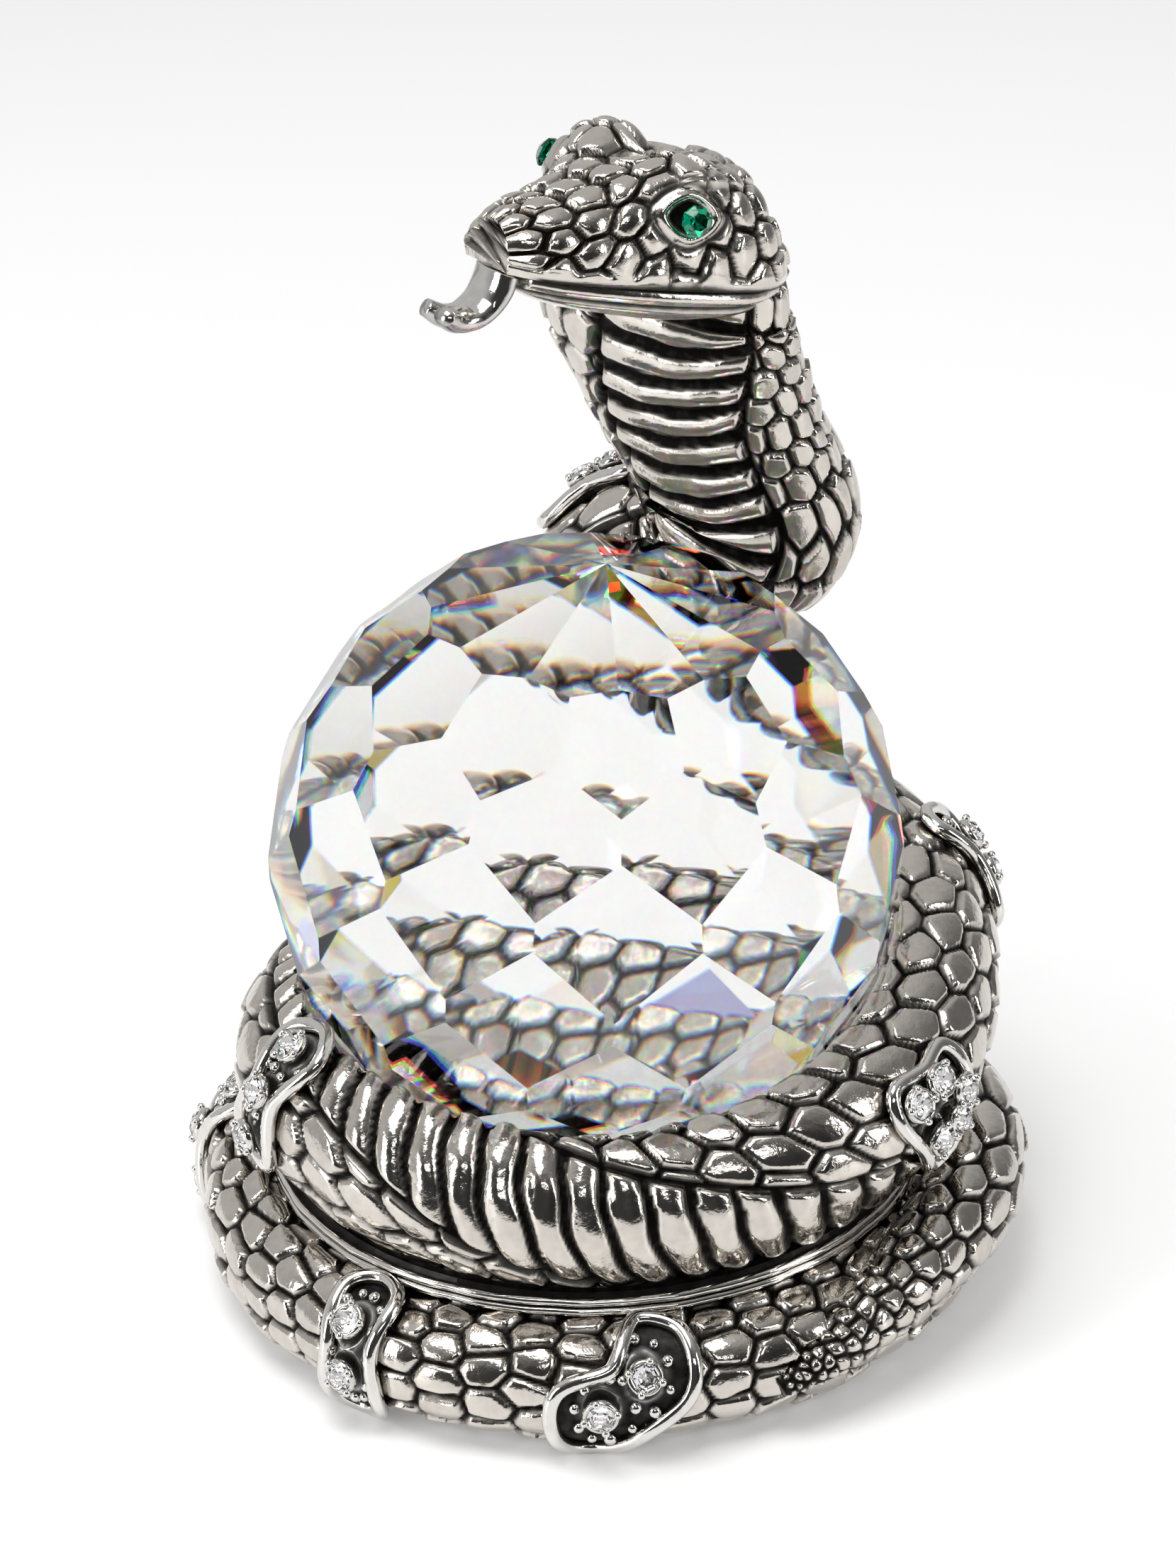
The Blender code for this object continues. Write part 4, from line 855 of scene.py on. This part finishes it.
def make_tongue(rings=60, sides=20):
    """Two ribbons from the mouth that part at the tip, fuller than in the CAD model."""
    fuller = 1.7
    rows = np.array(TONGUE_PATH)
    fine = smooth_rows(rows, np.linspace(0, len(rows) - 1, rings))
    turn = 2 * np.pi * np.arange(sides) / sides
    wide, thick = fuller * fine[:, 3][:, None, None], fuller * fine[:, 4][:, None, None]
    # An even darker tone all round, with painted shade darkest on the ribbons' undersides.
    patina_and_shade = 0.25 + 0.2 * np.sin(turn)[None] + 0 * fine[:, :1]
    far_side = head_axes()[1]
    heap = Heap()
    for way in (-1, 1):
        line = head_world(np.stack((fine[:, 0], way * fine[:, 1], fine[:, 2]), 1))
        along = unit(np.gradient(line, axis=0))
        across = unit(far_side - along * (along @ far_side)[:, None])
        out = np.cross(along, across)
        grid = line[:, None] + across[:, None] * wide * np.cos(turn)[None, :, None]
        grid = grid + out[:, None] * thick * np.sin(turn)[None, :, None]
        heap.add(grid, capped_faces(rings, sides), patina_and_shade)
    made = make_object("tongue_ribbon", heap.points, heap.faces, WIRE_SILVER, "lid", heap.patina_and_shade)
    stands_for("tongue")


# ------------------------------------------------------------------ settings


def coarse_path(rows):
    places = np.linspace(0, len(rows) - 1, (len(rows) - 1) * RINGS_PER_ROW + 1)
    fine = smooth_rows(rows, places)
    a, b, c = np.radians(fine[:, 0]), np.radians(fine[:, 5]), np.radians(fine[:, 0] + fine[:, 6])
    centres = np.stack((fine[:, 1] * np.cos(a), fine[:, 1] * np.sin(a), fine[:, 2]), 1)
    belly = np.stack((np.cos(c) * np.cos(b), np.sin(c) * np.cos(b), np.sin(b)), 1)
    return centres, fine[:, 3], fine[:, 4], belly, 2.0


def ring_path(turns, out, height, wide, thick):
    """A path round the upright axis, with its belly down."""
    centres = np.stack((out * np.cos(turns), out * np.sin(turns), height), 1)
    belly = np.tile((0.0, 0.0, -1.0), (len(turns), 1))
    return centres, wide, thick, belly, COIL_FULLNESS


def flank_path():
    rings = 19
    fine = smooth_rows(FLANK_PATH, np.linspace(0, len(FLANK_PATH) - 1, rings))
    turns, out, height, wide, thick = (fine[:, k] for k in range(5))
    return ring_path(
        np.radians(turns),
        RING_RADIUS + out,
        RING_HEIGHT + height,
        COIL_HALF_WIDTH + wide,
        COIL_HALF_HEIGHT + thick,
    )


def lower_coil(count=97):
    sizes = (RING_RADIUS, RING_HEIGHT, COIL_HALF_WIDTH, COIL_HALF_HEIGHT)
    return ring_path(np.linspace(0, 2 * math.pi, count), *(np.full(count, size) for size in sizes))


def on_skin(path, place, angle, height):
    """A point above the skin of a path. The angle is measured up from straight outwards."""
    centres = path[0]
    i = min(max(int(place), 0), len(centres) - 2)
    f = place - i
    centre, wide, thick, belly = (row[i] * (1 - f) + row[i + 1] * f for row in path[:4])
    tangents = np.gradient(centres, axis=0)
    along = unit(tangents[i] * (1 - f) + tangents[i + 1] * f)
    outward = np.array((centre[0], centre[1], 0))
    outward = unit(outward - along * float(outward @ along))
    up = np.cross(outward, along)
    if up[2] < 0:
        up = -up
    down = unit(belly - along * float(belly @ along))
    side = np.cross(along, down)
    way = outward * math.cos(angle) + up * math.sin(angle)
    n = path[4]
    a, b = float(way @ side) / wide, float(way @ down) / thick
    reach = (abs(a) ** n + abs(b) ** n) ** (-1 / n)
    steep_a, steep_b = (math.copysign(abs(c) ** (n - 1), c) for c in (a, b))
    normal = unit(side * steep_a / wide + down * steep_b / thick)
    return centre + way * reach + normal * height


def patch_on(path, place, degrees, turn):
    wide, thick = path[1], path[2]
    angle = math.radians(degrees)
    ahead = on_skin(path, place + 0.5, angle, 0)
    step = float(np.linalg.norm(ahead - on_skin(path, place - 0.5, angle, 0)))
    round_body = (float(wide[int(place)]) + float(thick[int(place)])) / 2
    c, s = math.cos(math.radians(turn)), math.sin(math.radians(turn))

    def point(u, v, h):
        along, across = u * c - v * s, u * s + v * c
        return on_skin(path, place + along / step, angle + across / round_body, h)

    return point


def closed_outline(corners, count):
    rows = np.array(corners, float)
    n = len(rows)
    t = np.arange(count) * n / count
    i = t.astype(int)
    f = (t - i)[:, None]
    a, b, c, d = (rows[(i + k - 1) % n] for k in range(4))
    return 0.5 * (2 * b + (c - a) * f + (2 * a - 5 * b + 4 * c - d) * f**2 + (3 * b - a - 3 * c + d) * f**3)


class Heap:
    """Closed shapes gathered into one mesh."""

    def __init__(self):
        self.points, self.faces, self.patina_and_shade = [], [], []

    def add(self, points, faces, patina_and_shade):
        start = len(self.points)
        self.points.extend(np.asarray(points, float).reshape(-1, 3).tolist())
        self.faces.extend([[start + k for k in face] for face in faces])
        self.patina_and_shade.extend(np.asarray(patina_and_shade, float).ravel().tolist())

    def ball(self, middle, radius, patina_and_shade=0.0, rows=8, columns=12):
        a = np.linspace(0.02, np.pi - 0.02, rows)[:, None]
        t = 2 * np.pi * np.arange(columns)[None] / columns
        grid = np.stack((np.sin(a) * np.cos(t), np.sin(a) * np.sin(t), np.cos(a) + 0 * t), -1)
        self.add(grid * radius + middle, capped_faces(rows, columns), np.full(rows * columns, patina_and_shade))

    def ring(self, line, normals, half_wide, half_high, patina_and_shade=0.0, sides=10):
        """A closed wire along a closed line."""
        along = unit(np.roll(line, -1, axis=0) - np.roll(line, 1, axis=0))
        side = unit(np.cross(normals, along))
        up = np.cross(along, side)
        t = 2 * np.pi * np.arange(sides) / sides
        grid = line[:, None] + side[:, None] * half_wide * np.cos(t)[None, :, None]
        grid = grid + up[:, None] * half_high * np.sin(t)[None, :, None]
        shade = patina_and_shade + 0.5 * ramp(-np.sin(t), 0.0, 0.9)[None] + 0 * line[:, :1]
        self.add(grid, hoop_faces(len(line), sides), np.clip(shade, 0, 1))


# One setting's work, in mm. The heights are above the snake's skin.
WIRE_INSET, WIRE_HEIGHT, WIRE_HALF_WIDE, WIRE_HALF_HIGH = 0.75, 0.95, 0.78, 0.72
FLOOR_HEIGHT, FLOOR_BELOW, FLOOR_RINGS = 0.42, -0.35, 14
RIDGE_HEIGHT, RIDGE_RADIUS, RIDGE_WIDTH = 0.35, 1.75, 0.35
SEAT_ABOVE_SKIN = 0.4 + SETTING_FLOOR + GAP + STONE_DEPTH * STONE_RADIUS
RIM_RADIUS, RIM_DROP, RIM_HALF_WIDE, RIM_HALF_HIGH = 1.5, 0.45, 0.28, 0.5
CLAW_REACH, CLAW_LIFT, CLAW_RADIUS, CLAWS = 1.62, 0.05, 0.42, 4
CUP_RINGS = ((1.42, 0.25), (1.46, 0.4), (0.5, 1.15), (0.02, 1.3))  # radius, and depth below the seat
BEAD_RINGS = ((0.6, 13), (0.3, 7))  # share of the outline, and how many beads
BEAD_HEIGHT, BEAD_RADIUS, BEAD_TO_STONE = 0.68, 0.58, 2.05


def circle_of(count, first, second):
    t = 2 * np.pi * np.arange(count) / count
    return np.cos(t)[:, None] * first + np.sin(t)[:, None] * second


def add_floor(heap, middle, spine, stones, point):
    """The sunk plate inside the wire, with a ridge round each stone."""
    count = len(spine)
    grid = [[point(u, v, FLOOR_BELOW) for u, v in spine]]
    shade = [np.full(count, 1.0)]
    for share in np.linspace(1.0, 0.0, FLOOR_RINGS):
        ring = middle + (spine - middle) * max(share, 0.01)
        heights = np.full(count, FLOOR_HEIGHT)
        for u, v in stones:
            near = np.hypot(ring[:, 0] - u, ring[:, 1] - v)
            heights = heights + RIDGE_HEIGHT * np.exp(-((near - RIDGE_RADIUS) / RIDGE_WIDTH) ** 2)
        grid.append([point(u, v, h) for (u, v), h in zip(ring, heights)])
        shade.append(np.clip(0.92 - 1.2 * (heights - FLOOR_HEIGHT), 0.2, 1))
    heap.add(grid, capped_faces(len(grid), count), shade)


def add_collet(heap, centre, facing, twist):
    """A rim, claws and a cup for one stone."""
    first = unit(np.cross(facing, (0.3, 0.5, 0.8)))
    second = np.cross(facing, first)
    rim = centre + RIM_RADIUS * circle_of(24, first, second) - RIM_DROP * facing
    heap.ring(rim, np.tile(facing, (len(rim), 1)), RIM_HALF_WIDE, RIM_HALF_HIGH, patina_and_shade=0.1, sides=8)
    for claw in range(CLAWS):
        w = claw * 2 * math.pi / CLAWS + twist
        reach = CLAW_REACH * (math.cos(w) * first + math.sin(w) * second)
        heap.ball(centre + reach + CLAW_LIFT * facing, CLAW_RADIUS)
    around = circle_of(16, first, second)
    rings = [centre + radius * around - drop * facing for radius, drop in CUP_RINGS]
    heap.add(rings, grid_faces(len(rings), len(around)), np.zeros(len(rings) * len(around)))


def make_setting(name, outline, stones, point, body):
    """The silver work of one setting. point gives a place on the snake from two distances and a height."""
    heap = Heap()
    outer = closed_outline(outline, 96)
    middle = outer.mean(axis=0)
    away = outer - middle
    spine = middle + away * (1 - WIRE_INSET / np.linalg.norm(away, axis=1))[:, None]
    line = np.array([point(u, v, WIRE_HEIGHT) for u, v in spine])
    normals = np.array([unit(point(u, v, 1.2) - point(u, v, 0.2)) for u, v in spine])
    heap.ring(line, normals, WIRE_HALF_WIDE, WIRE_HALF_HIGH)
    add_floor(heap, middle, spine, stones, point)
    for k, (u, v) in enumerate(stones):
        centre = point(u, v, SEAT_ABOVE_SKIN)
        add_collet(heap, centre, unit(centre - point(u, v, 0)), 0.6 + k)
    for share, number in BEAD_RINGS:
        for q, (u, v) in enumerate(middle + (closed_outline(outline, number) - middle) * share):
            if min(math.hypot(u - a, v - b) for a, b in stones) > BEAD_TO_STONE:
                size = BEAD_RADIUS + 0.08 * math.sin(3.0 * q)
                heap.ball(point(u, v, BEAD_HEIGHT), size, patina_and_shade=0.02)
    heap.points = [[x, y, max(z, SETTING_LOW)] for x, y, z in heap.points]
    made = make_object("work_" + name, heap.points, heap.faces, WIRE_SILVER, body, heap.patina_and_shade)
    stands_for("setting_" + name)


def make_settings():
    coil = lower_coil()
    for name, outline, stones, azimuth, angle, turn in BASE_SETTINGS:
        point = patch_on(coil, azimuth / 360 * (len(coil[0]) - 1), angle, turn)
        make_setting("base_" + name, outline, stones, point, "base")
    for name, outline, stones, ring, angle, turn in FLANK_SETTINGS:
        make_setting("base_" + name, outline, stones, patch_on(flank_path(), ring, angle, turn), "base")
    path = coarse_path(BODY_PATH)
    for name, outline, stones, row, angle, turn in LID_SETTINGS:
        make_setting(name, outline, stones, patch_on(path, row * RINGS_PER_ROW, angle, turn), "lid")


# ------------------------------------------------------------------ carried-over pieces


def dress_cad():
    looks = {
        "crystal": CRYSTAL,
        "paste_stone": PASTE,
        "emerald_stone": EMERALD,
        "felt": FELT,
        "nickel_magnet": MAGNET,
        "steel_pin": STEEL,
        "antique_silver": WIRE_SILVER,
    }
    slots = {row["node"]: row["material_slot"] for row in frame["record"]["subparts"]}
    for name, obj in frame["nodes"].items():
        look = looks[slots[name]]
        obj.data.materials.clear()
        obj.data.materials.append(look)
        if slots[name] in ("crystal", "paste_stone", "emerald_stone"):
            obj.data.shade_flat()
        else:
            obj.data.shade_smooth()
            obj.data.set_sharp_from_angle(angle=math.radians(35))


# ------------------------------------------------------------------ stage


def make_stage():
    mesh = bpy.data.meshes.new("floor")
    s = 2.5
    mesh.from_pydata([(-s, -s, 0), (s, -s, 0), (s, s, 0), (-s, s, 0)], [], [(0, 1, 2, 3)])
    floor = bpy.data.objects.new("floor", mesh)
    bpy.context.scene.collection.objects.link(floor)
    look, tree, shader = principled("white_table")
    place = named_output(tree, "ShaderNodeTexCoord", "Object")
    far = named_output(tree, "ShaderNodeVectorMath", "Value", operation="LENGTH")
    set_inputs(tree, far.node, {0: place})
    # Painted light: the floor is pale near the middle and greyer further out, and it glows with that colour
    # though it is no lamp.
    stops = ((0.24, (0.85, 0.85, 0.85)), (0.75, (0.5, 0.5, 0.5)))
    painted_light_falloff = colour_stops(tree, far, stops, "EASE")
    glow = {"Base Color": painted_light_falloff, "Emission Color": painted_light_falloff, "Emission Strength": 0.23, "Roughness": 0.5}
    set_inputs(tree, shader, glow)
    mesh.materials.append(look)


def area(name, place, aim, size, power):
    data = bpy.data.lights.new(name, "AREA")
    data.shape = "RECTANGLE"
    data.size, data.size_y = size
    data.energy = power
    lamp = bpy.data.objects.new(name, data)
    bpy.context.scene.collection.objects.link(lamp)
    lamp.location = place
    lamp.rotation_euler = (Vector(aim) - Vector(place)).to_track_quat("-Z", "Y").to_euler()


def make_light():
    """A pale room that is darker towards the viewer and to the right, and four soft lamps."""
    world = bpy.data.worlds.new("studio")
    bpy.context.scene.world = world
    world.use_nodes = True
    tree = world.node_tree
    ways = named_output(tree, "ShaderNodeTexCoord", "Generated")
    split = tree.nodes.new("ShaderNodeSeparateXYZ")
    set_inputs(tree, split, {0: ways})
    x, y, z = split.outputs
    deep = map_range(tree, y, -0.75, 0.15, 0.05, 0.62, "SMOOTHSTEP")
    sideways = map_range(tree, x, 0.15, 0.9, 1.0, 0.3, "SMOOTHSTEP")
    room = node(tree, "ShaderNodeMath", {0: deep, 1: sideways}, operation="MULTIPLY")
    through = map_range(tree, z, -0.3, 0.9, 0.72, 0.84)
    rays = tree.nodes.new("ShaderNodeLightPath").outputs
    inputs = {"Factor": rays["Is Transmission Ray"], 2: room, 3: through}
    glass = node(tree, "ShaderNodeMix", inputs, data_type="FLOAT")
    inputs = {"Factor": rays["Is Camera Ray"], 2: glass, 3: 1.0}
    strength = node(tree, "ShaderNodeMix", inputs, data_type="FLOAT")
    set_inputs(tree, tree.nodes["Background"], {"Strength": strength, "Color": (1, 1, 1, 1)})
    aim = (0, 0, 0.05)
    area("top_box", (-0.12, -0.1, 0.75), aim, (0.45, 0.35), 3.0)
    area("left_box", (-0.65, -0.35, 0.3), aim, (0.25, 0.5), 2.5)
    area("right_box", (0.7, -0.3, 0.35), aim, (0.15, 0.5), 1.9)
    area("front_strip", (0.1, -0.8, 0.75), aim, (0.5, 0.1), 0.9)


def make_camera():
    data = bpy.data.cameras.new("camera")
    focal_pixels, frame_pixels, sensor = 8950, 2212, 36
    data.lens = focal_pixels / frame_pixels * sensor
    data.sensor_width = sensor
    data.clip_start = 0.01
    camera = bpy.data.objects.new("camera", data)
    bpy.context.scene.collection.objects.link(camera)
    elevation, roll = math.radians(29), math.radians(2)
    target = Vector((0.0002, 0, 0.0514))
    away = Vector((0, -math.cos(elevation), math.sin(elevation)))
    right = Vector((1, 0, 0))
    up = away.cross(right)
    tilted = right * math.cos(roll) - up * math.sin(roll)
    raised = up * math.cos(roll) + right * math.sin(roll)
    turn = Matrix((tilted, raised, away)).transposed()
    camera.matrix_world = Matrix.Translation(target + away * 0.6) @ turn.to_4x4()
    bpy.context.scene.camera = camera


make_base()
make_rims()
make_tail()
make_body()
make_bowl()
make_hood()
make_head()
make_jaw()
make_tongue()
make_settings()
dress_cad()
make_stage()
make_light()
make_camera()
bpy.context.scene.view_settings.view_transform = "Standard"
